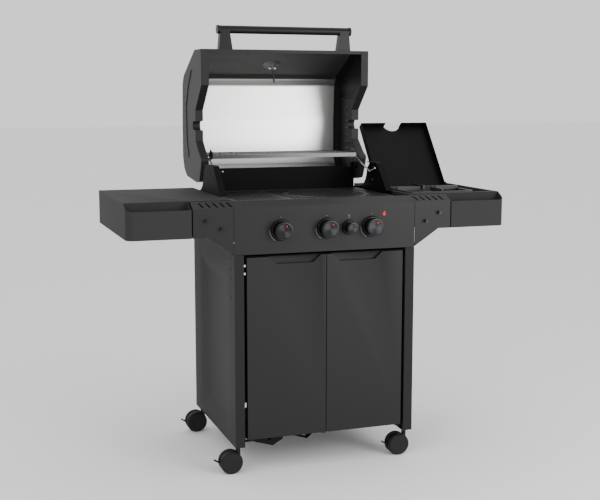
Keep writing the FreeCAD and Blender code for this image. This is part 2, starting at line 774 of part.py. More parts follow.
# ---------------------------------------------------------------- firebox, burners, gas
def firebox():
    """Open-topped box with raised side walls, a funnel floor, ledges, rolled rims and two hinge ears."""
    wall = [
        (firebox_burner_front, firebox_z0),
        (firebox_burner_front, knob_z + 54),
        (firebox_front, knob_z + 76),
        (firebox_front, grate_z1),
        (rim_start - 10, grate_z1),
        (rim_start, rim_z0),
        (rim_start + rim_run, rim_z1, 12),
        (rim_flat_end, rim_z1, 6),
        (hinge_y - cap_clearance + 1, hinge_z - 6),
        (firebox_rear, hinge_z - 6),
        (firebox_rear, firebox_z0),
    ]
    pieces = []
    clearing = []
    for side in (-1, 1):
        a, b = sorted((side * firebox_inner, side * firebox_outer))
        pieces.append(prism_x(wall, a, b))
        c, d = sorted((side * (firebox_inner - flange_width), side * firebox_outer))
        rim = [
            (rim_start, rim_z0),
            (rim_start + rim_run, rim_z1, 12),
            (rim_flat_end - 10, rim_z1),
        ]
        pieces.append(prism_x(band(rim, cast_wall), c, d))
        e, f = sorted((side * firebox_inner, side * (half - 0.5)))
        pieces.append(box(e, f, 60, firebox_rear - 4, side_top, side_top + 3))
        g, h = sorted((side * (cap_inner - 3), side * (firebox_outer + 5)))
        clearing.append(rod((g, hinge_y, hinge_z), (h, hinge_y, hinge_z), cap_clearance))
        clearing.append(box(g, h, hinge_y - 12, hinge_y + 40, hinge_z - cap_clearance, rim_z1 + 5))
    front = [
        (firebox_burner_front, firebox_z0),
        (firebox_burner_front, knob_z + 54),
        (firebox_front, knob_z + 76),
        (firebox_front, grate_z1),
    ]
    pieces.append(prism_x(band(front, 2.5), -firebox_inner, firebox_inner))
    rear_y = firebox_rear - cast_wall
    rear_top = hinge_z - cap_clearance
    pieces.append(box(-firebox_inner, firebox_inner, rear_y, firebox_rear, firebox_z0, rear_top))
    pieces.append(box(-cap_inner + 3, cap_inner - 3, rear_y, firebox_rear, rear_top, hinge_z + 1))
    ledge_top = grate_z0 - seat_gap
    pieces.append(box(-firebox_inner, firebox_inner, firebox_front + 2, firebox_front + 13, ledge_top - 3, ledge_top))
    pieces.append(box(-firebox_inner, firebox_inner, rear_y - 12, rear_y, ledge_top - 3, ledge_top))
    pieces.append(box(-firebox_inner, firebox_inner, firebox_burner_front + 2, firebox_burner_front + 13,
                      tamer_z - 3, tamer_z))
    pieces.append(box(-firebox_inner, firebox_inner, rear_y - 12, rear_y, tamer_z - 3, tamer_z))
    rest_z = burner_z - burner_radius
    pieces.append(box(-firebox_inner, firebox_inner, rear_y - 44, rear_y - 41, rest_z - 6, rest_z))
    pieces.append(funnel())
    for side in (-1, 1):
        a, b = sorted((side * (cap_inner - 12), side * (cap_inner - 4)))
        ear = box(a, b, hinge_y - 27, hinge_y + 14, hinge_z - 44, hinge_z)
        hub = rod((a, hinge_y, hinge_z), (b, hinge_y, hinge_z), 14)
        pieces.append(fuse([ear, hub]))
    body = fuse(pieces)
    tools = list(clearing)
    pin = hinge_pin_radius
    for side in (-1, 1):
        a, b = sorted((side * (cap_inner - 30), side * (cap_inner - 3.5)))
        tools.append(rod((a, hinge_y, hinge_z), (b, hinge_y, hinge_z), pin))
        a, b = sorted((side * (cap_inner - 30), side * (cap_inner - 12)))
        tools.append(rod((a, hinge_y, hinge_z), (b, hinge_y, hinge_z), pin + 4))
        a, b = sorted((side * (firebox_inner - 5), side * (firebox_outer + 1)))
        tools.append(rod((a, leg_y, leg_z), (b, leg_y, leg_z), leg_radius + running_fit))
    for x in (-burner_pitch, 0, burner_pitch):
        start = (x, firebox_burner_front - 5, burner_z)
        end = (x, firebox_burner_front + 5, burner_z)
        tools.append(rod(start, end, burner_radius + 0.5))
    return cut(body, tools)


def funnel():
    """Sloping floor from the walls down to the drain opening."""
    y0 = firebox_burner_front
    y1 = firebox_rear

    def loop(z, inset, mouth):
        if mouth:
            a, b, c, d = -50 + inset, 50 - inset, 190 + inset, 350 - inset
        else:
            a, b, c, d = -firebox_outer + inset, firebox_outer - inset, y0 + inset, y1 - inset
        return outline([(a, c), (b, c), (b, d), (a, d)], lambda p: V(p.x, p.y, z))

    low = base_z + back_panel_height + 56
    outside = Part.makeLoft([loop(firebox_z0 + 3, 0, False), loop(low, 0, True)], True, True)
    inside = Part.makeLoft([loop(firebox_z0 + 3.5, 2.5, False), loop(low - 0.5, 2.5, True)], True, True)
    return outside.cut(inside)


def flame_tamers():
    pieces = []
    lean = math.atan2(tamer_height, tamer_half_width - tamer_crown)
    base = tamer_z + sheet * math.cos(lean)
    top = base + tamer_height
    for x in (-burner_pitch, 0, burner_pitch):
        path = [(x - tamer_half_width, base), (x - tamer_crown, top)]
        path += [(x + tamer_crown, top), (x + tamer_half_width, base)]
        pieces.append(prism_y(band(path, sheet), firebox_burner_front + 3, firebox_rear - cast_wall - 2))
    return pieces


def burner_tubes():
    """Three tube burners with a row of flame ports on top."""
    pieces = []
    for x in (-burner_pitch, 0, burner_pitch):
        start = (x, manifold_y + 12, burner_z)
        end = (x, firebox_rear - 34, burner_z)
        body = rod(start, end, burner_radius)
        body = body.cut(rod(start, (x, firebox_rear - 35, burner_z), burner_radius - 1))
        ports = []
        for i in range(14):
            y = firebox_burner_front + 40 + i * 20
            ports.append(box(x - 6, x + 6, y, y + 3, burner_z + burner_radius - 4, burner_z + burner_radius + 1))
        pieces.append(body.cut(Part.makeCompound(ports)))
    return pieces


def gas_manifold():
    """Gas pipe with a neck and jet for each valve, the inlet stub and the side burner's supply pipe."""
    left = -burner_pitch - 60
    parts = [rod((left, manifold_y, burner_z), (half - 22, manifold_y, burner_z), manifold_radius)]
    for name, x, _ in knobs:
        parts.append(rod((x, 44, knob_z), (x, manifold_y, knob_z), 6))
        if name != "side_burner":
            parts.append(rod((x, manifold_y, burner_z), (x, manifold_y + 18, burner_z), 4))
    parts.append(rod((left + 15, manifold_y, burner_z), (left + 15, manifold_y, burner_z - 38), 7))
    parts.append(rod((left + 15, manifold_y, burner_z - 38), (left + 15, manifold_y, burner_z - 50), 11))
    corner = (side_lid_middle, manifold_y, burner_z)
    end = (side_lid_middle, side_lid_centre_y, burner_z)
    parts.append(rod((half - 23, manifold_y, burner_z), corner, supply_radius))
    parts.append(rod(corner, end, supply_radius))
    for place in (corner, end):
        parts.append(Part.makeSphere(supply_radius, V(*place)))
    return [fuse(parts)]


def valve_bodies():
    pieces = []
    for _, x, _ in knobs:
        body = box(x - 13, x + 13, valve_front, 44, knob_z - 14, knob_z + 14)
        body = body.cut(rod((x, valve_front - 1, knob_z), (x, 34, knob_z), plug_radius + running_fit))
        collar = rod((x, sheet, knob_z), (x, valve_front, knob_z), valve_collar_radius)
        throat = rod((x, sheet - 1, knob_z), (x, valve_front + 1, knob_z), stem_radius + stem_clearance)
        pieces.append(fuse([body, collar.cut(throat)]))
    return pieces


def valve_plug(x):
    plug = rod((x, 9, knob_z), (x, 33, knob_z), plug_radius)
    return plug.cut(rod((x, 8, knob_z), (x, 30, knob_z), stem_radius + running_fit))


def knob(x, radius):
    """Control knob with its stem: a skirt, a waisted grip and a flat front disc."""
    y = -knob_front
    profile = [
        (0, y),
        (radius - 1.5, y),
        (radius, y + 1.5),
        (radius, y + 5),
        (radius - 3.5, y + 17),
        (radius - 2.5, y + 19),
        (radius - 2.5, y + 25),
        (0, y + 25),
    ]
    body = lathe(profile, x, knob_z)
    stem = rod((x, y + 24, knob_z), (x, 25, knob_z), stem_radius)
    return fuse([body, stem])


def knob_bezels():
    pieces = []
    for _, x, radius in knobs:
        outer = radius + bezel_margin
        inside = radius - 0.5
        hole = stem_radius + stem_clearance
        profile = [(hole, 0), (outer, 0), (outer, -4), (outer - 2.5, -9), (inside, -9), (inside, -2), (hole, -2)]
        pieces.append(lathe(profile, x, knob_z))
    return pieces


# ---------------------------------------------------------------- grates
def slab_grate(x0, x1):
    """Cast grid: a frame, bars from front to back, and two cross ribs underneath."""
    frame = box(x0, x1, grate_y0, grate_y1, grate_z0, grate_z1)
    inside = box(x0 + grate_frame, x1 - grate_frame, grate_y0 + grate_frame, grate_y1 - grate_frame,
                 grate_z0 - 1, grate_z1 + 1)
    pieces = [frame.cut(inside)]
    room = x1 - x0 - 2 * grate_frame
    count = int(room // grate_pitch)
    for i in range(count):
        x = x0 + grate_frame + (i + 0.5) * room / count
        pieces.append(box(x - grate_bar / 2, x + grate_bar / 2, grate_y0 + 2, grate_y1 - 2, grate_z0 + 2, grate_z1))
    for share in (0.33, 0.67):
        y = grate_y0 + share * (grate_y1 - grate_y0)
        pieces.append(box(x0 + 2, x1 - 2, y - 4, y + 4, grate_z0, grate_z0 + 7))
    return fuse(pieces)


def ring_grate():
    """The right-hand grate, with a round opening and its seat ring for the loose insert."""
    body = slab_grate(grate_split + 1, grate_outer)
    centre = (insert_x, insert_y, grate_z0 - 1)
    top = (insert_x, insert_y, grate_z1 + 1)
    rim = rod((insert_x, insert_y, grate_z0), (insert_x, insert_y, grate_z1), insert_radius + 9)
    body = body.fuse(rim)
    seat_z = grate_z0 + 3
    body = body.cut(rod((insert_x, insert_y, seat_z), top, insert_radius + 1))
    return body.cut(rod(centre, top, insert_radius - 6)).removeSplitter()


def grate_insert():
    z0 = grate_z0 + 3 + seat_gap
    outer = rod((insert_x, insert_y, z0), (insert_x, insert_y, grate_z1), insert_radius)
    room = insert_radius - grate_frame
    ring = outer.cut(rod((insert_x, insert_y, z0 - 1), (insert_x, insert_y, grate_z1 + 1), room))
    bars = []
    count = int(insert_radius // grate_pitch)
    for i in range(-count, count + 1):
        x = insert_x + i * grate_pitch
        half_bar = grate_bar / 2
        edge = abs(i) * grate_pitch + half_bar
        reach = math.sqrt(max(insert_radius ** 2 - edge ** 2, 0)) - 2
        if reach > grate_frame:
            bars.append(box(x - half_bar, x + half_bar, insert_y - reach, insert_y + reach, z0, grate_z1))
    cross = box(insert_x - insert_radius + 3, insert_x + insert_radius - 3, insert_y - 4, insert_y + 4, z0, z0 + 6)
    return fuse([ring, cross] + bars)


# ---------------------------------------------------------------- lid, drawn closed and turned open
def lid_point(y, z, radius=0):
    return (y, z + lid_lift_z, radius)


def lid_outside():
    """The lid's outside from its front lower edge over the top to its rear lower edge."""
    return [
        lid_point(lid_front, 907.7),
        lid_point(lid_front, 1002, 10),
        lid_point(146.6, 1175.2, 25),
        lid_point(177.1, 1195.2, 25),
        lid_point(308.4, 1203.7, 60),
        lid_point(449.3, 1203.7, 50),
        lid_point(491.2, 1182, 30),
        lid_point(515, 1142, 30),
        lid_point(528.4, 991.5),
    ]


def rim_point(z):
    """A corner of the lid's lower outline that keeps its clearance from the firebox's sloping rim."""
    y = rim_start + (z + lid_lift_z - rim_z0) * rim_slope - rim_clearance_y
    return lid_point(y, z, 4)


def lid_underside():
    return [
        lid_point(521.7, 952.5, 12),
        lid_point(471.2, 926.8, 12),
        lid_point(441.7, 918.2, 8),
        lid_point(425.5, 946.8, 12),
        lid_point(380, 999.2, 4),
        rim_point(998.2),
        rim_point(907.7),
    ]


def lid_cap():
    """Right-hand cast end of the lid: a shell open to the inside, with a hinge hub and a spit slot."""
    profile = lid_outside() + lid_underside()
    body = prism_x(profile, cap_inner, cap_outer)
    shape = Part.Face(outline(profile, lambda p: V(cap_inner - 1, p.x, p.y)))
    pocket = shape.makeOffset2D(-cast_wall).extrude(V(cap_width - cast_wall + 1, 0, 0))
    body = body.cut(pocket)
    hub = rod((cap_inner, hinge_y, hinge_z), (cap_outer, hinge_y, hinge_z), 13)
    spit_y = 326.5
    spit_z = lid_z0 + 118
    sleeve = spit_tool(spit_y, spit_z, spit_radius + cast_wall, cap_inner)
    ribs = []
    for y in (230, 400):
        ribs.append(box(cap_outer - 8, cap_outer, y - 1.5, y + 1.5, hinge_z + 30, lid_z1 - 12))
    body = fuse([body, hub, sleeve.common(prism_x(profile, cap_inner, cap_outer))] + ribs)
    bore_end = cap_outer - 3.8
    bore = rod((cap_inner - 1, hinge_y, hinge_z), (bore_end, hinge_y, hinge_z), hinge_pin_radius + running_fit)
    return cut(body, [bore, spit_tool(spit_y, spit_z, spit_radius, cap_inner - 1)])


def spit_tool(y, z, radius, x0):
    """A round-topped slot through the lid end for a rotisserie spit."""
    low = hinge_z + 10
    arch = rod((x0, y, z), (cap_outer + 1, y, z), radius)
    return fuse([arch, box(x0, cap_outer + 1, y - radius, y + radius, low, z)])


def lid_skin():
    path = [lid_point(lid_front + 12, 907.7)] + lid_outside() + [lid_point(518, 990.5)]
    body = prism_x(band(path, sheet), -cap_inner + seat_gap, cap_inner - seat_gap)
    return body.cut(thermometer_rod(-20, 20, 3.5))


def liner_face(z):
    """Where the inner face of the liner's rear part lies at a height of the closed lid."""
    return liner_low_y - (z - liner_low_z) * liner_lean - liner_sheet * math.hypot(1, liner_lean)


def lid_liner():
    """Bright inner sheet behind the cooking space, from the rear edge round to the sloped front."""
    path = [
        lid_point(160, 1172, 12),
        lid_point(181, 1185, 25),
        lid_point(308, 1192, 60),
        lid_point(446, 1192, 45),
        lid_point(483, 1174, 28),
        lid_point(liner_bend_y, liner_bend_z, 28),
        lid_point(liner_low_y, liner_low_z),
    ]
    first = lid_point(157, 1165)
    return prism_x(band([first] + path, liner_sheet), -cap_inner + seat_gap, cap_inner - seat_gap)


def thermometer_rod(start, end, radius):
    """A round bar square to the lid's sloped front, between two distances outside of it."""
    slope = V(0, 146.6 - lid_front, 173.2).normalize()
    away = V(0, -slope.z, slope.y)
    centre = V(0, lid_front, 1002 + lid_lift_z) + slope * 97
    a = centre + away * start
    return Part.makeCylinder(radius, end - start, a, away)


def thermometer():
    """Dial case outside, probe and wing nut inside."""
    case = thermometer_rod(0, 14, thermometer_radius)
    case = case.cut(thermometer_rod(11, 15, thermometer_radius - 3))
    glass = thermometer_rod(11, 12.5, thermometer_radius - 3)
    probe = thermometer_rod(-78, 0, 3)
    nut = thermometer_rod(-10, -sheet, 8)
    return [fuse([case, probe, nut]), glass]


def lid_handle():
    """Tube handle on two tapered posts, with end caps."""
    y = lid_front - handle_reach
    z = lid_z0 + 66.3 - handle_drop
    bar = rod((-handle_half, y, z), (handle_half, y, z), handle_radius)
    pieces = [bar]
    for side in (-1, 1):
        x = side * handle_half
        pieces.append(rod((x, y, z), (x + side * 8, y, z), handle_radius + 1.5))
        outer = side * (handle_half + 4)
        inner = side * (handle_half - 45)
        base = [(outer, lid_front), (inner, lid_front), (inner - side * -10, y), (outer - side * 6, y)]
        post = prism_z(base, z - handle_radius, z + handle_radius)
        pieces.append(cut(post, [bar, pieces[-1]]))
    return pieces


def lid_screws():
    """Dome screws along the liner's edges and on the lid's front lip."""
    pieces = []
    for side in (-1, 1):
        for z in (1020, 1060, 1100):
            x = side * (cap_inner - 8)
            y = liner_face(z) - lid_screw_radius * liner_lean
            start = (x, y - lid_screw_height, z + lid_lift_z)
            pieces.append(rod(start, (x, y, z + lid_lift_z), lid_screw_radius))
    for x in (-180, -90, 90, 180):
        z = 915 + lid_lift_z
        pieces.append(rod((x, lid_front + sheet, z), (x, lid_front + sheet + 2.5, z), 3))
    return pieces


# ---------------------------------------------------------------- warming rack, drawn in the open pose

def warming_rack():
    """Wire shelf: a flat front bar, a rear bar, rods between them and two side tabs with pivot holes."""
    strip = box(-rack_half, rack_half, rack_front - 3, rack_front, rack_z - 10, rack_z + 4)
    rear = rod((-rack_half, rack_rear, rack_z), (rack_half, rack_rear, rack_z), 3)
    middle = rod((-rack_half, rack_pivot_y + 70, rack_z - 3), (rack_half, rack_pivot_y + 70, rack_z - 3), 3)
    pieces = [strip, rear, middle]
    count = int((2 * rack_half - 12) // rack_pitch)
    for i in range(count + 1):
        x = -rack_half + 6 + i * (2 * rack_half - 12) / count
        pieces.append(rod((x, rack_front - 1, rack_z + 1), (x, rack_rear, rack_z + 1), rack_rod))
    bores = []
    for side in (-1, 1):
        a, b = sorted((side * rack_half, side * (rack_half - 2)))
        tab = [
            (rack_front - 2, rack_z - 8),
            (rack_pivot_y + 14, rack_z - 18),
            (rack_pivot_y + 24, rack_z - 4),
            (rack_pivot_y + 6, rack_z + 22),
            (rack_front + 8, rack_z + 14),
        ]
        pieces.append(prism_x(tab, a, b))
        a, b = sorted((side * (rack_half + 1), side * (rack_half - 3)))
        start = (a, rack_pivot_y, rack_pivot_z)
        bores.append(rod(start, (b, rack_pivot_y, rack_pivot_z), leg_radius + running_fit))
    return cut(fuse(pieces), bores)


def rack_legs():
    """Two bent wire legs that turn in the firebox walls and carry the rack's front."""
    pieces = []
    for side in (-1, 1):
        x = side * leg_x
        bends = [(leg_y - 42, leg_z + 14), (leg_y, leg_z), (leg_y + 77, leg_z + 23), (rack_pivot_y, rack_pivot_z)]
        parts = []
        for a, b in zip(bends, bends[1:]):
            parts.append(rod((x, a[0], a[1]), (x, b[0], b[1]), leg_radius))
        for y, z in bends:
            parts.append(Part.makeSphere(leg_radius, V(x, y, z)))
        outward = side * (firebox_outer - 1)
        parts.append(rod((x, leg_y, leg_z), (outward, leg_y, leg_z), leg_radius))
        inward = side * (rack_half - 5)
        parts.append(rod((inward, rack_pivot_y, rack_pivot_z), (x, rack_pivot_y, rack_pivot_z), leg_radius))
        pieces.append(fuse(parts))
    return pieces


# ---------------------------------------------------------------- grease tray and screws
def grease_tray():
    z0 = base_z + back_panel_height + 30 + sheet + seat_gap
    y0 = 60
    y1 = cabinet_depth - 5
    body = box(-tray_half, tray_half, y0, y1, z0, z0 + tray_height)
    inside = box(-tray_half + sheet, tray_half - sheet, y0 + sheet, y1 - sheet, z0 + sheet, z0 + tray_height + 1)
    grip = box(-45, 45, y1 - 1, y1 + 16, z0 + tray_height - 6, z0 + tray_height - 4)
    return body.cut(inside).fuse(grip).removeSplitter()


def screws():
    """Dome screws on the firebox walls and the back panel."""
    pieces = []
    for side in (-1, 1):
        x = side * firebox_inner
        for y, z in ((250, 940), (330, 975), (350, 930), (225, 915)):
            z = z + strip_z - 899
            pieces.append(rod((x, y, z), (x - side * 3, y, z), 4))
        for z in (base_z + 30, base_z + 280, base_z + 540):
            y = cabinet_depth
            pieces.append(rod((side * (half - 12), y, z), (side * (half - 12), y + 2.5, z), 4))
    return pieces


# ---------------------------------------------------------------- casters
def caster_places():
    x = half - caster_inset_x
    rear = cabinet_depth - caster_inset_y
    return {
        "front_left": (-x, caster_inset_y),
        "front_right": (x, caster_inset_y),
        "rear_left": (-x, rear),
        "rear_right": (x, rear),
    }


def caster_socket(x, y):
    plate = box(x - 15, x + 15, y - 20, y + 20, base_z - 3, base_z)
    stem = rod((x, y, wheel_radius + 24), (x, y, base_z - 3), swivel_radius)
    return fuse([plate, stem])


def caster_housing(x, y):
    """Swivel boss and centre web between the wheels, with the axle and the brake pin."""
    wx = x - caster_trail
    wz = wheel_radius
    web = rod((wx, y - 7.5, wz), (wx, y + 7.5, wz), wheel_radius - 3.5)
    boss = rod((x, y, wz + 12), (x, y, base_z - 3.5), 8)
    pocket = box(wx - 42, wx - 20, y - 5.3, y + 5.3, wz - 9, wz + 12)
    body = fuse([web, boss])
    bore = rod((x, y, wz + 18), (x, y, base_z), swivel_radius + running_fit)
    body = cut(body, [pocket, bore])
    axle = rod((wx, y - wheel_inner - 13, wz), (wx, y + wheel_inner + 13, wz), axle_radius)
    pin = rod((wx - 28, y - 7, wz + 1), (wx - 28, y + 7, wz + 1), lever_pin_radius)
    return fuse([body, axle, pin])


def caster_wheels(x, y):
    pieces = []
    wx = x - caster_trail
    for side in (-1, 1):
        near = y + side * wheel_inner
        far = y + side * (wheel_inner + wheel_width)
        wheel = rod((wx, near, wheel_radius), (wx, far, wheel_radius), wheel_radius)
        rounding = [e for e in wheel.Edges if isinstance(e.Curve, Part.Circle)]
        wheel = wheel.makeFillet(2.5, rounding)
        bore_end = y + side * (wheel_inner + 13.4)
        start = (wx, near - side, wheel_radius)
        pieces.append(wheel.cut(rod(start, (wx, bore_end, wheel_radius), axle_radius + running_fit)))
    return pieces


def caster_brake(x, y):
    """Brake lever that stands out beside the wheels."""
    wx = x - caster_trail
    wz = wheel_radius
    hub = rod((wx - 28, y - 4.8, wz + 1), (wx - 28, y + 4.8, wz + 1), 4.6)
    arm = [(wx - 28, wz - 3), (wx - 44, wz + 1), (wx - 57, wz + 9)]
    arm += [(wx - 55, wz + 13), (wx - 43, wz + 6), (wx - 28, wz + 5)]
    lever = prism_y(arm, y - 4.8, y + 4.8)
    bore = rod((wx - 28, y - 6, wz + 1), (wx - 28, y + 6, wz + 1), lever_pin_radius + running_fit)
    return fuse([hub, lever]).cut(bore)


# ---------------------------------------------------------------- write every node
def write_cabinet():
    panel = side_panel()
    write("side_panel_right", [panel])
    write("side_panel_left", [mirrored(panel)])
    write("back_panel", [back_panel()])
    write("bottom_panel", [bottom_panel()])
    write("bottle_trough", bottle_trough())
    brackets = shelf_brackets()
    write("cabinet_frame", cabinet_rails() + brackets + [mirrored(b) for b in brackets])
    write("door_head_rail", [door_head_rail()])
    write("hinge_pins", hinge_pins())
    write("magnet_catches", magnet_catches())
    leaf = door()
    write("door_right", [leaf])
    write("door_left", [mirrored(leaf)])
    write("grease_tray", [grease_tray()])
    write("screws", screws())


def write_front():
    write("control_panel", [control_panel()])
    write("fascia_right", [fascia(5)])
    write("fascia_left", [mirrored(fascia(-5))])
    write("fascia_hooks", fascia_hooks())
    write("knob_bezels", knob_bezels())
    write("gas_manifold", gas_manifold() + valve_bodies())
    for name, x, radius in knobs:
        write("valve_plug_" + name, [valve_plug(x)])
        write("knob_" + name, [knob(x, radius)])


def write_shelves():
    write("side_shelf_right", burner_shelf())
    write("side_shelf_left", [mirrored(side_shelf())])
    write("side_burner", side_burner())
    write("pan_support", pan_support())
    write("side_burner_lid", side_burner_lid())


def write_firebox():
    write("firebox", [firebox()])
    write("flame_tamers", flame_tamers())
    write("burner_tubes", burner_tubes())
    write("grate_left", [slab_grate(-grate_outer, grate_split - 1)])
    write("grate_right", [ring_grate()])
    write("grate_insert", [grate_insert()])


def write_lid():
    cap = lid_cap()
    write("lid_cap_right", [turned_lid(cap)])
    write("lid_cap_left", [turned_lid(mirrored(cap))])
    write("lid_skin", [turned_lid(lid_skin())])
    write("lid_liner", [turned_lid(lid_liner())])
    write("lid_handle", [turned_lid(p) for p in lid_handle()])
    write("thermometer", [turned_lid(p) for p in thermometer()])
    write("lid_screws", [turned_lid(p) for p in lid_screws()])
    write("warming_rack", [warming_rack()])
    write("rack_legs", rack_legs())


def write_casters():
    sockets = []
    for name, (x, y) in caster_places().items():
        sockets.append(caster_socket(x, y))
        write("caster_" + name + "_housing", [caster_housing(x, y)])
        write("caster_" + name + "_wheels", caster_wheels(x, y))
        write("caster_" + name + "_brake", [caster_brake(x, y)])
    write("caster_sockets", sockets)


write_cabinet()
write_front()
write_shelves()
write_firebox()
write_lid()
write_casters()
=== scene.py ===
"""The looks of a gas barbecue grill, built round its fixed frame. Metres, +Z up, +Y to the back."""
import json
import logging
import math
from dataclasses import dataclass, field
from enum import Enum
from typing import Callable, Iterable, List, Optional, Sequence, Tuple

import bmesh
import bpy
from mathutils import Matrix, Vector


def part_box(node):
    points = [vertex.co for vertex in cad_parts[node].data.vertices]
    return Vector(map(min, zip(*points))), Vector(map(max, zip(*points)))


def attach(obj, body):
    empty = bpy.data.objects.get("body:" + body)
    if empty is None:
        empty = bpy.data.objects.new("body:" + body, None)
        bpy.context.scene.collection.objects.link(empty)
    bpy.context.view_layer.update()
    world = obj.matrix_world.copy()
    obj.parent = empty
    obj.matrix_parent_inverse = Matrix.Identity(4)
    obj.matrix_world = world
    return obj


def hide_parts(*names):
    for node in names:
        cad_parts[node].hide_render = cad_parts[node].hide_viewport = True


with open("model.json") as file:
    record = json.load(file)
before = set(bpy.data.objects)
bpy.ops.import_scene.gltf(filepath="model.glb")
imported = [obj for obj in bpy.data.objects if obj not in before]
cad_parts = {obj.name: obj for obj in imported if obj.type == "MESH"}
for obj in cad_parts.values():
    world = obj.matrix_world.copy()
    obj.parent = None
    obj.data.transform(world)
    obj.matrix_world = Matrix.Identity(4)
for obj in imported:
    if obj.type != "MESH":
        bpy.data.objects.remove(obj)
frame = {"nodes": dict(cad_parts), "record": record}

log = logging.getLogger("grill")
logging.basicConfig(level=logging.INFO, format="%(name)s: %(message)s")

MM = 0.001
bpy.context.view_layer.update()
# Names already taken by the fixed nodes' own materials.
FIXED_MATERIALS = {material.name for material in bpy.data.materials}
SHARP_ANGLE = math.radians(35)
FLAT_ANGLE = math.radians(0.6)
WELD_REACH = 2e-6
SEAM_REACH = 1e-7
EDGE_SEGMENTS = 2
LATHE_STEPS = 64
PEBBLE_RINGS = 8
BUMP_DEPTH = 0.05 * MM
GRAIN_DETAIL = 3.0
LEAST_ROUGHNESS = 0.02


class Side(Enum):
    """Which side of the object a piece stands on, seen from the front."""

    LEFT = "left"
    RIGHT = "right"


# ---------------------------------------------------------------- finishes
def linear(code: str) -> Tuple[float, float, float, float]:
    """Turns an sRGB hex code into a linear colour.

    Args:
        code: Six hex digits with a leading hash.

    Returns:
        Red, green, blue and alpha, each from 0 to 1.
    """
    parts = [int(code[i:i + 2], 16) / 255 for i in (1, 3, 5)]
    curve = [c / 12.92 if c <= 0.04045 else ((c + 0.055) / 1.055) ** 2.4 for c in parts]
    return (curve[0], curve[1], curve[2], 1.0)


def add_node(tree: bpy.types.NodeTree, kind: str, settings: Optional[dict] = None,
             inputs: Optional[dict] = None, links: Optional[dict] = None) -> bpy.types.Node:
    """Adds one shader node with its settings, socket values and incoming links.

    Args:
        tree: The material's node tree.
        kind: The node's type name.
        settings: Attributes set on the node.
        inputs: Values for its input sockets, by socket name.
        links: Output sockets linked to its inputs, by socket name.

    Returns:
        The new node.
    """
    node = tree.nodes.new(kind)
    for key, value in (settings or {}).items():
        setattr(node, key, value)
    for key, value in (inputs or {}).items():
        node.inputs[key].default_value = value
    for key, socket in (links or {}).items():
        tree.links.new(socket, node.inputs[key])
    return node


@dataclass(frozen=True)
class Finish:
    """A surface finish, or a copy of one that paints light or shade: its colour, gloss and the size of its
    grain.
    """

    name: str
    colour: str
    slot: str
    roughness: float = 0.5
    metallic: float = 0.0
    grain_mm: float = 1.0
    bump: float = 0.05
    mottle: float = 0.05
    specular: float = 0.2

    def stretch(self) -> Tuple[float, float, float]:
        """The grain's scale along each axis; equal for a coat.

        Returns:
            The scales along X, Y and Z.
        """
        return (1.0, 1.0, 1.0)

    def tune(self, tree: bpy.types.NodeTree, shader: bpy.types.Node) -> None:
        """Adds what a special finish needs; a plain one needs nothing.

        Args:
            tree: The material's node tree.
            shader: Its surface shader.
        """

    def material(self) -> bpy.types.Material:
        """Builds the material once and returns it after that.

        Returns:
            The finish's material.
        """
        if self.name in FIXED_MATERIALS:
            raise ValueError(self.name + " is already the name of a fixed node's material")
        known = bpy.data.materials.get(self.name)
        if known:
            return known
        made = bpy.data.materials.new(self.name)
        made.use_nodes = True
        tree = made.node_tree
        tree.nodes.clear()
        place = add_node(tree, "ShaderNodeTexCoord")
        turn = add_node(tree, "ShaderNodeMapping", inputs={"Scale": self.stretch()},
                        links={"Vector": place.outputs["Object"]})
        grain = add_node(tree, "ShaderNodeTexNoise", inputs={
            "Scale": 1 / (self.grain_mm * MM), "Detail": GRAIN_DETAIL,
        }, links={"Vector": turn.outputs["Vector"]})
        lift = add_node(tree, "ShaderNodeBump", inputs={"Strength": self.bump, "Distance": BUMP_DEPTH},
                        links={"Height": grain.outputs["Fac"]})
        gloss = add_node(tree, "ShaderNodeMapRange", inputs={
            "To Min": max(self.roughness - self.mottle, LEAST_ROUGHNESS),
            "To Max": self.roughness + self.mottle,
        }, links={"Value": grain.outputs["Fac"]})
        shader = add_node(tree, "ShaderNodeBsdfPrincipled", inputs={
            "Base Color": linear(self.colour), "Metallic": self.metallic,
        }, links={"Roughness": gloss.outputs["Result"], "Normal": lift.outputs["Normal"]})
        if self.metallic == 0:
            shader.inputs["Specular IOR Level"].default_value = self.specular
        self.tune(tree, shader)
        add_node(tree, "ShaderNodeOutputMaterial", links={"Surface": shader.outputs["BSDF"]})
        return made


@dataclass(frozen=True)
class BrushedMetal(Finish):
    """Sheet brushed along X: the grain is long one way and fine across, so highlights smear sideways."""

    along: float = 0.02

    def stretch(self) -> Tuple[float, float, float]:
        return (self.along, 1.0, 1.0)


@dataclass(frozen=True)
class SpunMetal(Finish):
    """A disc turned on a lathe: rings of fine scratches, seen as bright wedges from the middle."""

    wedge: float = 0.85

    def tune(self, tree: bpy.types.NodeTree, shader: bpy.types.Node) -> None:
        tangent = add_node(tree, "ShaderNodeTangent", {"direction_type": "RADIAL", "axis": "Y"})
        shader.inputs["Anisotropic"].default_value = self.wedge
        tree.links.new(tangent.outputs["Tangent"], shader.inputs["Tangent"])


# Charcoal powder coat: soft wide highlights and a faint orange peel.
CHARCOAL = Finish("powder_coat_charcoal", "#1f1f20", "powder_coat",
                  roughness=0.44, grain_mm=0.9, bump=0.12, mottle=0.04)
# The same coat on the shelves, more matt and painted lighter: the lighter colour is painted light that lifts
# the shaded fronts to the tone of the tops.
SHELF_COAT_PAINTED_LIGHT = Finish("powder_coat_shelf_painted_light", "#303031", "powder_coat",
                    roughness=0.64, grain_mm=0.9, bump=0.12, mottle=0.04, specular=0.08)
# The same coat on the cabinet's sides: more matt, so it stays dark when seen along the sheet.
SIDE_COAT = Finish("powder_coat_side", "#222223", "powder_coat",
                   roughness=0.56, grain_mm=0.9, bump=0.12, mottle=0.04, specular=0.12)
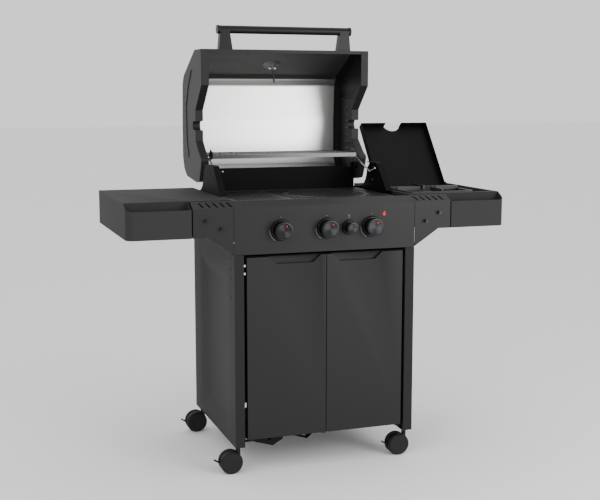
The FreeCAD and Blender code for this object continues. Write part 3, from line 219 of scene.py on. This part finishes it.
# Heat-proof coat on castings: duller, coarser, with a visible cast texture.
CASTING = Finish("heat_coat_on_casting", "#222223", "cast_coat",
                 roughness=0.5, grain_mm=1.8, bump=0.25, mottle=0.06)
# Black heat-proof coat inside the firebox: nearly no highlight.
FIREBOX_BLACK = Finish("heat_coat_black", "#0b0b0b", "cast_coat",
                       roughness=0.6, grain_mm=1.8, bump=0.25, mottle=0.06, specular=0.08)
# Black powder coat on rails and the side lid: even, half matt.
BLACK_COAT = Finish("powder_coat_black", "#0c0c0c", "black_coat",
                    roughness=0.5, grain_mm=0.9, bump=0.12, mottle=0.04, specular=0.12)
# Seasoned cast iron: rough, with broken soft glints on the bars.
IRON = Finish("cast_iron_seasoned", "#2a2a2a", "cast_iron",
              roughness=0.4, grain_mm=2.2, bump=0.25, mottle=0.1, specular=0.5)
# Brushed stainless sheet: bright, with a sideways smear.
STAINLESS = BrushedMetal("stainless_brushed", "#f0f0ee", "brushed_steel",
                         roughness=0.36, metallic=1.0, grain_mm=0.5, bump=0.08, mottle=0.06)
# Bright plated wire: sharp narrow glints.
PLATED = Finish("plated_wire", "#d8d8d8", "bright_wire",
                roughness=0.14, metallic=1.0, grain_mm=3.0, bump=0.02, mottle=0.03)
# Wires of the rack behind its front bar: a copy of the plated wire, darker than the bar, painted shade on the
# wires.
RACK_WIRE_PAINTED_SHADE = Finish("rack_wire_painted_shade", "#3c3c3c", "bright_wire",
              roughness=0.32, metallic=1.0, grain_mm=3.0, bump=0.04, mottle=0.06)
# Inside of the lid's front and the lid ends' inner bars: a lighter, half-metal copy of the coat, painted light
# that lifts these shaded inner faces.
LID_INSIDE_PAINTED_LIGHT = Finish("lid_inside_painted_light", "#565656", "powder_coat",
                    roughness=0.38, metallic=0.5, grain_mm=0.9, bump=0.06, mottle=0.04)
# The rack's front bar: plated wire in a grey tone, lighter than the darker copy painted on the wires behind it.
RACK_BAR = Finish("rack_bar_grey_plate", "#454545", "bright_wire",
                  roughness=0.22, metallic=1.0, grain_mm=3.0, bump=0.03, mottle=0.05)
# Screw heads: small satin sparks.
SCREW = Finish("screw_head_satin", "#a8a8a8", "screw_steel",
               roughness=0.3, metallic=1.0, grain_mm=1.0, bump=0.03, mottle=0.05)
# Satin black tube of the handle: one long soft highlight.
HANDLE = Finish("handle_satin_black", "#141415", "handle_coat",
                roughness=0.36, grain_mm=0.8, bump=0.06, mottle=0.04)
# Moulded knob plastic: darker and glossier than the panel.
KNOB = Finish("knob_moulded_plastic", "#0d0d0e", "knob_plastic",
              roughness=0.3, grain_mm=0.6, bump=0.05, mottle=0.04, specular=0.3)
# Spun face of the knobs: bright wedges that turn with the light.
KNOB_FACE = SpunMetal("knob_face_spun", "#2a2a2c", "knob_plastic",
                      roughness=0.26, metallic=0.9, grain_mm=0.4, bump=0.04, mottle=0.05)
# Gauge case: satin steel.
GAUGE = Finish("gauge_steel", "#9a9a9a", "gauge_metal",
               roughness=0.32, metallic=1.0, grain_mm=0.8, bump=0.04, mottle=0.05)
# Machined brass of the valves and gas pipe.
BRASS = Finish("brass_machined", "#b08d4f", "brass",
               roughness=0.35, metallic=1.0, grain_mm=0.7, bump=0.05, mottle=0.06)
# Galvanised sheet: pale grey with a soft spangle.
ZINC = Finish("galvanised_sheet", "#8d9093", "zinc_plate",
              roughness=0.42, metallic=1.0, grain_mm=9.0, bump=0.05, mottle=0.1)
# Matt moulded plastic of the casters.
PLASTIC = Finish("caster_plastic", "#1a1a1b", "black_plastic",
                 roughness=0.55, grain_mm=1.2, bump=0.1, mottle=0.05)
# Printed face of the gauge.
DIAL = Finish("gauge_face_print", "#d9d9d4", "gauge_metal",
              roughness=0.5, grain_mm=1.0, bump=0.0, mottle=0.02)
# White print on the panel.
PRINT = Finish("white_print", "#8a8a8a", "powder_coat",
               roughness=0.5, grain_mm=1.0, bump=0.0, mottle=0.02)
# Red print: the pointer dots and the plain flame sign.
RED_PRINT = Finish("red_print", "#d8261c", "powder_coat",
                   roughness=0.45, grain_mm=1.0, bump=0.0, mottle=0.02)


# ---------------------------------------------------------------- shaping
@dataclass
class Piece:
    """One visible piece under construction, in the row frame."""

    name: str
    body: str
    finish: Finish
    bm: bmesh.types.BMesh = field(default_factory=bmesh.new)

    def rod(self, start: Vector, end: Vector, radius: float, steps: int = 24) -> "Piece":
        """Adds a round bar between two points.

        Args:
            start: The middle of its first end.
            end: The middle of its other end.
            radius: Its radius.
            steps: Sides of its outline.

        Returns:
            The piece itself.
        """
        along = end - start
        turn = along.to_track_quat("Z", "Y").to_matrix().to_4x4()
        bmesh.ops.create_cone(self.bm, cap_ends=True, segments=steps, radius1=radius, radius2=radius,
                              depth=along.length, matrix=Matrix.Translation((start + end) / 2) @ turn)
        return self

    def pebble(self, centre: Vector, reach: Vector, steps: int = 16) -> "Piece":
        """Adds a squashed ball, for a domed head.

        Args:
            centre: Its middle.
            reach: Half its size along each axis.
            steps: Sides round its middle.

        Returns:
            The piece itself.
        """
        shape = Matrix.Translation(centre) @ Matrix.Diagonal((*reach, 1.0))
        bmesh.ops.create_uvsphere(self.bm, u_segments=steps, v_segments=PEBBLE_RINGS, radius=1.0, matrix=shape)
        return self

    def lathe(self, profile: Sequence[Tuple[float, float]], x: float, z: float,
              start: float = 0.0, sweep: float = 360.0) -> "Piece":
        """Turns a (radius, y) profile about the line along Y through x and z.

        Args:
            profile: Radius and y of each corner.
            x: The axis's x.
            z: The axis's z.
            start: Where a part turn begins, in degrees from +X.
            sweep: How far it turns, in degrees.

        Returns:
            The piece itself.
        """
        verts = [self.bm.verts.new((x + r, y, z)) for r, y in profile]
        edges = [self.bm.edges.new(pair) for pair in zip(verts, verts[1:])]
        full = sweep >= 360
        if not full:
            bmesh.ops.rotate(self.bm, verts=verts, cent=(x, 0, z),
                             matrix=Matrix.Rotation(math.radians(start), 3, "Y"))
        steps = LATHE_STEPS if full else max(int(LATHE_STEPS * sweep / 360), 4)
        bmesh.ops.spin(self.bm, geom=verts + edges, cent=(x, 0, z), axis=(0, 1, 0),
                       angle=math.radians(sweep), steps=steps, use_merge=full, use_duplicate=False)
        bmesh.ops.remove_doubles(self.bm, verts=self.bm.verts, dist=SEAM_REACH)
        return self

    def done(self, bevel: float = 0.0, replaces: Iterable[str] = (), second: Optional[Finish] = None,
             where: Optional[Callable[[bpy.types.MeshPolygon], bool]] = None) -> bpy.types.Object:
        """Turns the piece into an object that rides on its body.

        Args:
            bevel: Width of its rounded edges in metres, or 0.
            replaces: The fixed nodes that it stands for.
            second: A finish for some of its faces.
            where: Tells whether a face takes the second finish.

        Returns:
            The finished object.
        """
        bmesh.ops.recalc_face_normals(self.bm, faces=self.bm.faces)
        mesh = bpy.data.meshes.new(self.name)
        self.bm.to_mesh(mesh)
        self.bm.free()
        for face in mesh.polygons:
            face.use_smooth = True
        mesh.set_sharp_from_angle(angle=SHARP_ANGLE)
        mesh.materials.append(self.finish.material())
        if second is not None and where is not None:
            mesh.materials.append(second.material())
            for face in mesh.polygons:
                face.material_index = 1 if where(face) else 0
        made = bpy.data.objects.new(self.name, mesh)
        bpy.context.scene.collection.objects.link(made)
        if bevel > 0:
            rounding = made.modifiers.new("edges", "BEVEL")
            rounding.width = bevel
            rounding.segments = EDGE_SEGMENTS
            rounding.limit_method = "ANGLE"
            rounding.angle_limit = SHARP_ANGLE
            rounding.harden_normals = True
        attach(made, self.body)
        for node in replaces:
            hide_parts(node)
        log.info("%s: %d faces", self.name, len(mesh.polygons))
        return made


def body_of(node: str) -> str:
    """The body that a fixed node belongs to.

    Args:
        node: The node's name.

    Returns:
        The body's name.
    """
    for body, members in frame["record"]["behaviour"]["bodies"].items():
        if node in members:
            return body
    raise ValueError(node)


def merged(node: str) -> bmesh.types.BMesh:
    """A clean working copy of a fixed node's mesh, with its loose triangles joined.

    Args:
        node: The node's name.

    Returns:
        The copy; the fixed mesh stays as it is.
    """
    bm = bmesh.new()
    bm.from_mesh(frame["nodes"][node].data)
    bmesh.ops.remove_doubles(bm, verts=bm.verts, dist=WELD_REACH)
    bmesh.ops.dissolve_limit(bm, angle_limit=FLAT_ANGLE, verts=bm.verts, edges=bm.edges)
    return bm


def islands(bm: bmesh.types.BMesh) -> List[Tuple[Vector, Vector]]:
    """The lowest and highest corner of each separate lump of a mesh.

    Args:
        bm: The mesh.

    Returns:
        A pair of corners for each lump.
    """
    found = []
    seen = set()
    for first in bm.verts:
        if first in seen:
            continue
        stack = [first]
        seen.add(first)
        members = []
        while stack:
            here = stack.pop()
            members.append(here.co)
            for edge in here.link_edges:
                other = edge.other_vert(here)
                if other not in seen:
                    seen.add(other)
                    stack.append(other)
        low = Vector([min(c[i] for c in members) for i in range(3)])
        high = Vector([max(c[i] for c in members) for i in range(3)])
        found.append((low, high))
    return found


def refine(nodes: Iterable[str], finish: Finish, bevel_mm: float) -> None:
    """Replaces fixed nodes by cleaned copies with rounded edges.

    Args:
        nodes: The nodes' names.
        finish: Their finish.
        bevel_mm: Width of the rounded edges, or 0.
    """
    for node in nodes:
        piece = Piece(node + "_finished", body_of(node), finish, merged(node))
        piece.done(bevel_mm * MM, [node])


def domed_heads(node: str, finish: Finish) -> None:
    """Replaces plain screw stubs by domed heads of the same size.

    Args:
        node: The node that holds the stubs.
        finish: The heads' finish.
    """
    stubs = merged(node)
    piece = Piece(node + "_heads", body_of(node), finish)
    for low, high in islands(stubs):
        piece.pebble((low + high) / 2, (high - low) / 2)
    stubs.free()
    piece.done(0.0, [node])


# ---------------------------------------------------------------- sub-assemblies
@dataclass
class Cabinet:
    """Side walls, doors, floor and rails."""

    edge_mm: float = 0.6

    def build(self) -> None:
        """Builds every cabinet piece."""
        refine(["door_left", "door_right", "back_panel"], CHARCOAL, self.edge_mm)
        refine(["side_panel_left", "side_panel_right"], SIDE_COAT, self.edge_mm)
        refine(["bottom_panel", "bottle_trough", "cabinet_frame", "door_head_rail"], BLACK_COAT, self.edge_mm)
        refine(["magnet_catches"], PLASTIC, self.edge_mm)
        refine(["hinge_pins"], BLACK_COAT, 0.0)
        refine(["grease_tray"], ZINC, 0.4)
        domed_heads("screws", SCREW)


@dataclass
class Knob:
    """One control knob with its bezel, spun face, pointer and prints."""

    key: str
    has_scale: bool = True
    bezel_margin: float = 5.5 * MM
    rim: float = 5.2 * MM
    stem: float = 4 * MM
    grip_end: float = 25 * MM
    pointer_deg: float = 28.0
    pointer_place: float = 0.72
    pointer_size: float = 0.075
    print_gap: float = 0.12 * MM
    dot_radius: float = 1.2 * MM
    dot_rise: float = 7 * MM
    scale_gap: float = 2.5 * MM
    scale_width: float = 1.2 * MM
    sign_radius: float = 2.4 * MM
    sign_width: float = 0.8 * MM

    def build(self) -> None:
        """Builds the knob on its own body and the prints on the cabinet."""
        node = "knob_" + self.key
        low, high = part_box(node)
        x = (low.x + high.x) / 2
        z = (low.z + high.z) / 2
        y = low.y
        r = (high.x - low.x) / 2
        grip = Piece(node + "_grip", node, KNOB)
        grip.lathe([
            (0, y + 1.0 * MM), (r - 5 * MM, y + 1.0 * MM), (r - 4.4 * MM, y), (r - 1.5 * MM, y),
            (r - 0.4 * MM, y + 0.5 * MM), (r, y + 1.6 * MM), (r, y + 5 * MM), (r - 1.2 * MM, y + 9 * MM),
            (r - 3.5 * MM, y + 17 * MM), (r - 2.5 * MM, y + 19 * MM), (r - 2.5 * MM, y + self.grip_end),
            (self.stem, y + self.grip_end), (self.stem, high.y), (0, high.y),
        ], x, z)
        grip.done(0.0, [node])
        disc = r - self.rim
        face = Piece(node + "_face", node, KNOB_FACE)
        face.lathe([
            (0, y + 0.2 * MM), (disc - 0.4 * MM, y + 0.2 * MM), (disc, y + 0.6 * MM), (disc, y + 1.4 * MM),
        ], x, z)
        face.done()
        pointer = math.radians(self.pointer_deg)
        ray = Vector((math.sin(pointer), 0, math.cos(pointer)))
        centre = Vector((x, y + 0.1 * MM, z))
        dot = Piece(node + "_pointer", node, RED_PRINT)
        spot = centre + ray * (disc * self.pointer_place)
        dot.rod(spot + Vector((0, 0.6 * MM, 0)), spot - Vector((0, 0.2 * MM, 0)), r * self.pointer_size)
        dot.done()
        self.prints(x, z, r)

    def prints(self, x: float, z: float, r: float) -> None:
        """Adds the dot over the knob, and its scale arc or the small ring over the dot.

        Args:
            x: The knob's middle.
            z: The knob's height.
            r: The knob's radius.
        """
        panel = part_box("control_panel")[0].y
        marks = Piece("print_" + self.key, "cabinet", PRINT)
        top = Vector((x, panel, z + r + self.bezel_margin + self.dot_rise))
        marks.rod(top + Vector((0, 0.1 * MM, 0)), top - Vector((0, 0.15 * MM, 0)), self.dot_radius)
        if self.has_scale:
            ring = r + self.bezel_margin + self.scale_gap
            flat = [(ring, panel - self.print_gap), (ring + self.scale_width, panel - self.print_gap)]
            marks.lathe(flat, x, z, start=120, sweep=60)
        else:
            outer = self.sign_radius + self.sign_width
            sign = [(self.sign_radius, panel - self.print_gap), (outer, panel - self.print_gap)]
            marks.lathe(sign, x, top.z + self.dot_rise, sweep=350)
        marks.done()


@dataclass
class ControlPanel:
    """The front panel, its knobs, fascias, hooks and gas parts."""

    knobs: Tuple[str, ...] = ("left", "middle", "side_burner", "right")

    def build(self) -> None:
        """Builds the panel and everything on it."""
        refine(["control_panel", "fascia_left", "fascia_right"], CHARCOAL, 0.6)
        refine(["fascia_hooks"], KNOB, 0.8)
        refine(["knob_bezels"], KNOB, 0.7)
        refine(["gas_manifold"], BRASS, 0.4)
        refine(["valve_plug_" + k for k in self.knobs], BRASS, 0.3)
        for key in self.knobs:
            Knob(key, has_scale=key != "side_burner").build()
        self.flame_sign()

    def flame_sign(self) -> None:
        """A plain red drop over the right knob."""
        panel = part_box("control_panel")[0].y
        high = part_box("knob_right")[1]
        sign = Piece("flame_sign", "cabinet", RED_PRINT)
        spot = Vector((high.x + 16 * MM, panel, high.z + 10 * MM))
        sign.pebble(spot, Vector((5.0 * MM, 0.25 * MM, 6.0 * MM)))
        sign.pebble(spot + Vector((0.8 * MM, 0, 5.5 * MM)), Vector((2.2 * MM, 0.25 * MM, 5.5 * MM)))
        sign.done()


@dataclass
class Shelves:
    """Both side shelves and the side burner."""

    def build(self) -> None:
        """Builds the shelves, the burner, its support and its lid."""
        # The shelves take the lighter copy of the charcoal coat: painted light.
        refine(["side_shelf_left", "side_shelf_right"], SHELF_COAT_PAINTED_LIGHT, 1.2)
        refine(["side_burner", "pan_support"], IRON, 0.6)
        refine(["side_burner_lid"], BLACK_COAT, 0.6)


@dataclass
class Firebox:
    """The cast box with burners, tamers and grates."""

    def build(self) -> None:
        """Builds the firebox and what lies in it."""
        refine(["firebox"], FIREBOX_BLACK, 0.8)
        refine(["flame_tamers", "burner_tubes"], STAINLESS, 0.0)
        refine(["grate_left", "grate_right", "grate_insert"], IRON, 1.0)


@dataclass
class Lid:
    """The main lid, its handle and gauge, and the warming rack."""

    slope: Tuple[float, float] = (0.451, 0.892)
    gauge_place: Tuple[float, float] = (0.503, 0.715)
    cup_depth: float = 9 * MM
    dial_rise: float = 12.6 * MM
    dial_radius: float = 31 * MM
    dial_half_deg: float = 130.0
    dial_marks: int = 13
    mark_outer: float = 28 * MM
    needle_reach: float = 23 * MM
    bar_count: int = 7
    bar_first: float = 110 * MM
    bar_step: float = 26 * MM
    bar_back: float = 95 * MM
    dot_count: int = 12
    dot_first: float = 63 * MM
    dot_span: float = 296 * MM
    dot_back: float = 41 * MM
    rib_radius: float = 3.0 * MM
    rib_bends_mm: Tuple[Tuple[float, float], ...] = ((152, 399), (103, 341), (69, 272), (76, 145), (100, 87))

    def build(self) -> None:
        """Builds the lid and the rack."""
        refine(["lid_cap_left", "lid_cap_right"], CASTING, 1.2)
        self.skin()
        refine(["lid_liner"], STAINLESS, 0.0)
        refine(["lid_handle"], HANDLE, 1.2)
        refine(["thermometer"], GAUGE, 0.5)
        refine(["rack_legs"], PLATED, 0.0)
        self.rack()
        self.wing_nut()
        self.dial()
        self.inner_ribs()
        for side in Side:
            self.dots(side)
        domed_heads("lid_screws", SCREW)

    def skin(self) -> None:
        """The outer sheet: coated outside; the inward faces take a lighter copy of the coat, painted light on
        the shaded inside.
        """
        low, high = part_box("lid_skin")
        hollow = Vector(((low.x + high.x) / 2, low.y + (high.y - low.y) * 0.35, (low.z + high.z) / 2))

        def inside(face: bpy.types.MeshPolygon) -> bool:
            toward = hollow - face.center
            toward.x = 0
            return face.normal.dot(toward) > 0

        piece = Piece("lid_skin_finished", "lid", CHARCOAL, merged("lid_skin"))
        # Inward faces get the lighter copy of the coat: painted light.
        piece.done(0.4 * MM, ["lid_skin"], LID_INSIDE_PAINTED_LIGHT, inside)

    def rack(self) -> None:
        """The warming rack: a grey plated front bar, and a darker copy of the wire finish behind it as painted
        shade.
        """
        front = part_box("warming_rack")[0].y + 4 * MM
        piece = Piece("warming_rack_finished", "warming_rack", RACK_BAR, merged("warming_rack"))
        # Faces behind the front bar take the darker copy: painted shade.
        piece.done(0.0, ["warming_rack"], RACK_WIRE_PAINTED_SHADE, lambda face: face.center.y > front)

    def gauge(self) -> Tuple[Vector, Vector]:
        """Where the gauge stands on the lid's slope.

        Returns:
            The point where its axis meets the sheet, and the direction out of the lid.
        """
        low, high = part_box("thermometer")
        size = high - low
        outward = Vector((0, *self.slope)).normalized()
        return Vector((0, low.y + size.y * self.gauge_place[0], low.z + size.z * self.gauge_place[1])), outward

    def wing_nut(self) -> None:
        """The gauge's fixing inside the lid: a flared cup under a nut with two wings."""
        place, outward = self.gauge()
        foot = place - outward * 2.0 * MM
        turn = (-outward).to_track_quat("Z", "Y").to_matrix().to_4x4()
        cup = Piece("gauge_cup", "lid", GAUGE)
        bmesh.ops.create_cone(cup.bm, cap_ends=True, segments=40, radius1=33 * MM, radius2=9 * MM,
                              depth=self.cup_depth,
                              matrix=Matrix.Translation(foot - outward * (self.cup_depth / 2)) @ turn)
        cup.done(0.5 * MM)
        nut = Piece("gauge_wing_nut", "lid", SCREW)
        seat = foot - outward * self.cup_depth
        top = seat - outward * 8 * MM
        nut.rod(seat, top, 6 * MM, 20)
        for way in (-1, 1):
            nut.pebble(top + Vector((way * 10 * MM, 0, 0)), Vector((7 * MM, 3 * MM, 5 * MM)), 12)
        nut.done()

    def dial(self) -> None:
        """The gauge's outside: a pale face with scale marks and a needle, sunk in its rim."""
        place, outward = self.gauge()
        centre = place + outward * self.dial_rise
        up = Vector((0, self.slope[1], -self.slope[0]))
        across = Vector((1, 0, 0))
        plate = Piece("gauge_face", "lid", DIAL)
        plate.rod(centre, centre + outward * 0.3 * MM, self.dial_radius, 48)
        plate.done()

        def ray(turn_deg: float) -> Vector:
            turn = math.radians(turn_deg)
            return across * math.sin(turn) + up * math.cos(turn)

        marks = Piece("gauge_marks", "lid", BLACK_COAT)
        raised = outward * 0.4 * MM
        for i in range(self.dial_marks):
            way = ray(2 * self.dial_half_deg * i / (self.dial_marks - 1) - self.dial_half_deg)
            mark_inner = (24 if i % 3 else 21) * MM
            marks.rod(centre + way * mark_inner + raised, centre + way * self.mark_outer + raised, 0.5 * MM, 8)
        marks.rod(centre + outward * 0.3 * MM, centre + outward * 1.2 * MM, 3 * MM, 20)
        marks.done()
        needle = Piece("gauge_needle", "lid", RED_PRINT)
        raised = outward * 0.9 * MM
        needle.rod(centre + raised, centre + ray(-self.dial_half_deg) * self.needle_reach + raised, 0.7 * MM, 8)
        needle.done()

    def inner_ribs(self) -> None:
        """A column of short pressed bars inside each lid end."""
        for side in Side:
            low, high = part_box("lid_cap_" + side.value)
            x = low.x + 3 * MM if side is Side.LEFT else high.x - 3 * MM
            # The bars take the lid's lighter inside copy of the coat: painted light on the pressed pattern.
            bars = Piece("lid_cap_bars_" + side.value, "lid", LID_INSIDE_PAINTED_LIGHT)
            for i in range(self.bar_count):
                middle = Vector((x, high.y - self.bar_back, low.z + self.bar_first + i * self.bar_step))
                bars.pebble(middle, Vector((2.2 * MM, 13 * MM, 3 * MM)), 12)
            bars.done()

    def dots(self, side: Side) -> None:
        """A row of black domed dots, painted shade for small holes, and a bent raised rib on the outer face of
        a lid end.

        Args:
            side: Which lid end.
        """
        low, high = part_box("lid_cap_" + side.value)
        x = low.x if side is Side.LEFT else high.x
        # Black domes where the cap has small holes: their black is painted shade.
        row = Piece("lid_cap_hole_shade_dots_" + side.value, "lid", BLACK_COAT)
        for i in range(self.dot_count):
            z = low.z + self.dot_first + (i / (self.dot_count - 1)) * self.dot_span
            row.pebble(Vector((x, high.y - self.dot_back, z)), Vector((0.8 * MM, 3.4 * MM, 3.4 * MM)), 12)
        row.done()
        path = [Vector((x, high.y - back * MM, low.z + up * MM)) for back, up in self.rib_bends_mm]
        rib = Piece("lid_cap_rib_" + side.value, "lid", CASTING)
        for start, end in zip(path, path[1:]):
            rib.rod(start, end, self.rib_radius, 16)
        for place in path:
            rib.pebble(place, Vector((self.rib_radius, self.rib_radius, self.rib_radius)))
        rib.done()


@dataclass
class Caster:
    """One twin-wheel swivel caster."""

    place: str
    axle: float = 4.1 * MM
    wheel_width: float = 16.5 * MM

    def build(self) -> None:
        """Builds the wheels as turned discs and refines the rest."""
        key = "caster_" + self.place
        refine([key + "_housing", key + "_brake"], PLASTIC, 0.7)
        node = key + "_wheels"
        low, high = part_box(node)
        x = (low.x + high.x) / 2
        z = (low.z + high.z) / 2
        middle = (low.y + high.y) / 2
        r = (high.z - low.z) / 2
        reach = (high.y - low.y) / 2
        wheels = Piece(node + "_turned", node, PLASTIC)
        for way in (-1, 1):
            def at(depth: float, way: int = way) -> float:
                return middle + way * (reach - depth)
            wheels.lathe([
                (0, at(0.9 * MM)), (3.4 * MM, at(0.9 * MM)), (3.9 * MM, at(0.2 * MM)), (5.5 * MM, at(0)),
                (r * 0.86, at(0.6 * MM)), (r * 0.88, at(1.8 * MM)), (r * 0.91, at(1.6 * MM)),
                (r - 1.5 * MM, at(3.2 * MM)), (r, at(5.5 * MM)), (r, at(13.5 * MM)),
                (r - 1.2 * MM, at(15.5 * MM)), (r - 3 * MM, at(self.wheel_width)),
                (self.axle, at(self.wheel_width)),
            ], x, z)
        wheels.done(0.0, [node])


# ---------------------------------------------------------------- studio
@dataclass
class Studio:
    """Pale floor, soft lights and the camera."""

    eye: Tuple[float, float, float] = (-1.2307, -3.6198, 1.2324)
    tilt_deg: float = 81.8745
    turn_deg: float = -19.1023
    lens_mm: float = 64.764
    sensor_mm: float = 36.0
    aim: Tuple[float, float, float] = (0, 0, 0.8)
    floor_reach: float = 40.0
    floor_roughness: float = 0.9
    world_strength: float = 1.15

    def build(self) -> None:
        """Builds the floor, the lights and the camera."""
        bm = bmesh.new()
        bmesh.ops.create_grid(bm, x_segments=1, y_segments=1, size=self.floor_reach)
        mesh = bpy.data.meshes.new("floor")
        bm.to_mesh(mesh)
        bm.free()
        floor = bpy.data.objects.new("floor", mesh)
        bpy.context.scene.collection.objects.link(floor)
        paint = bpy.data.materials.new("floor_white_paint")
        paint.use_nodes = True
        shader = paint.node_tree.nodes["Principled BSDF"]
        shader.inputs["Base Color"].default_value = linear("#f4f4f4")
        shader.inputs["Roughness"].default_value = self.floor_roughness
        mesh.materials.append(paint)
        world = bpy.data.worlds.new("studio")
        world.use_nodes = True
        sky = world.node_tree.nodes["Background"]
        sky.inputs["Color"].default_value = (1, 1, 1, 1)
        sky.inputs["Strength"].default_value = self.world_strength
        bpy.context.scene.world = world
        self.light("key", (-2.6, -2.6, 2.8), 2.0, 34)
        self.light("liner", (1.7, -2.9, 1.25), 1.5, 60)
        self.light("top", (0.2, 0.4, 3.6), 2.4, 8)
        self.camera()

    def light(self, name: str, place: Tuple[float, float, float], size: float, power: float) -> None:
        """Adds one soft square light aimed at the object's middle.

        Args:
            name: The light's name.
            place: Where it stands.
            size: The length of its side in metres.
            power: Its power in watts.
        """
        lamp = bpy.data.lights.new(name, "AREA")
        lamp.size = size
        lamp.energy = power
        held = bpy.data.objects.new(name, lamp)
        held.location = place
        held.rotation_euler = (Vector(self.aim) - Vector(place)).to_track_quat("-Z", "Y").to_euler()
        bpy.context.scene.collection.objects.link(held)

    def camera(self) -> None:
        """Adds the camera that looks at the front from the left."""
        data = bpy.data.cameras.new("camera")
        data.lens = self.lens_mm
        data.sensor_width = self.sensor_mm
        held = bpy.data.objects.new("camera", data)
        held.location = self.eye
        held.rotation_euler = (math.radians(self.tilt_deg), 0, math.radians(self.turn_deg))
        bpy.context.scene.collection.objects.link(held)
        bpy.context.scene.camera = held


def main() -> None:
    """Builds every sub-assembly in order."""
    for part in (Cabinet(), ControlPanel(), Shelves(), Firebox(), Lid()):
        part.build()
    for place in ("front_left", "front_right", "rear_left", "rear_right"):
        Caster(place).build()
    Studio().build()


if __name__ == "__main__":
    main()
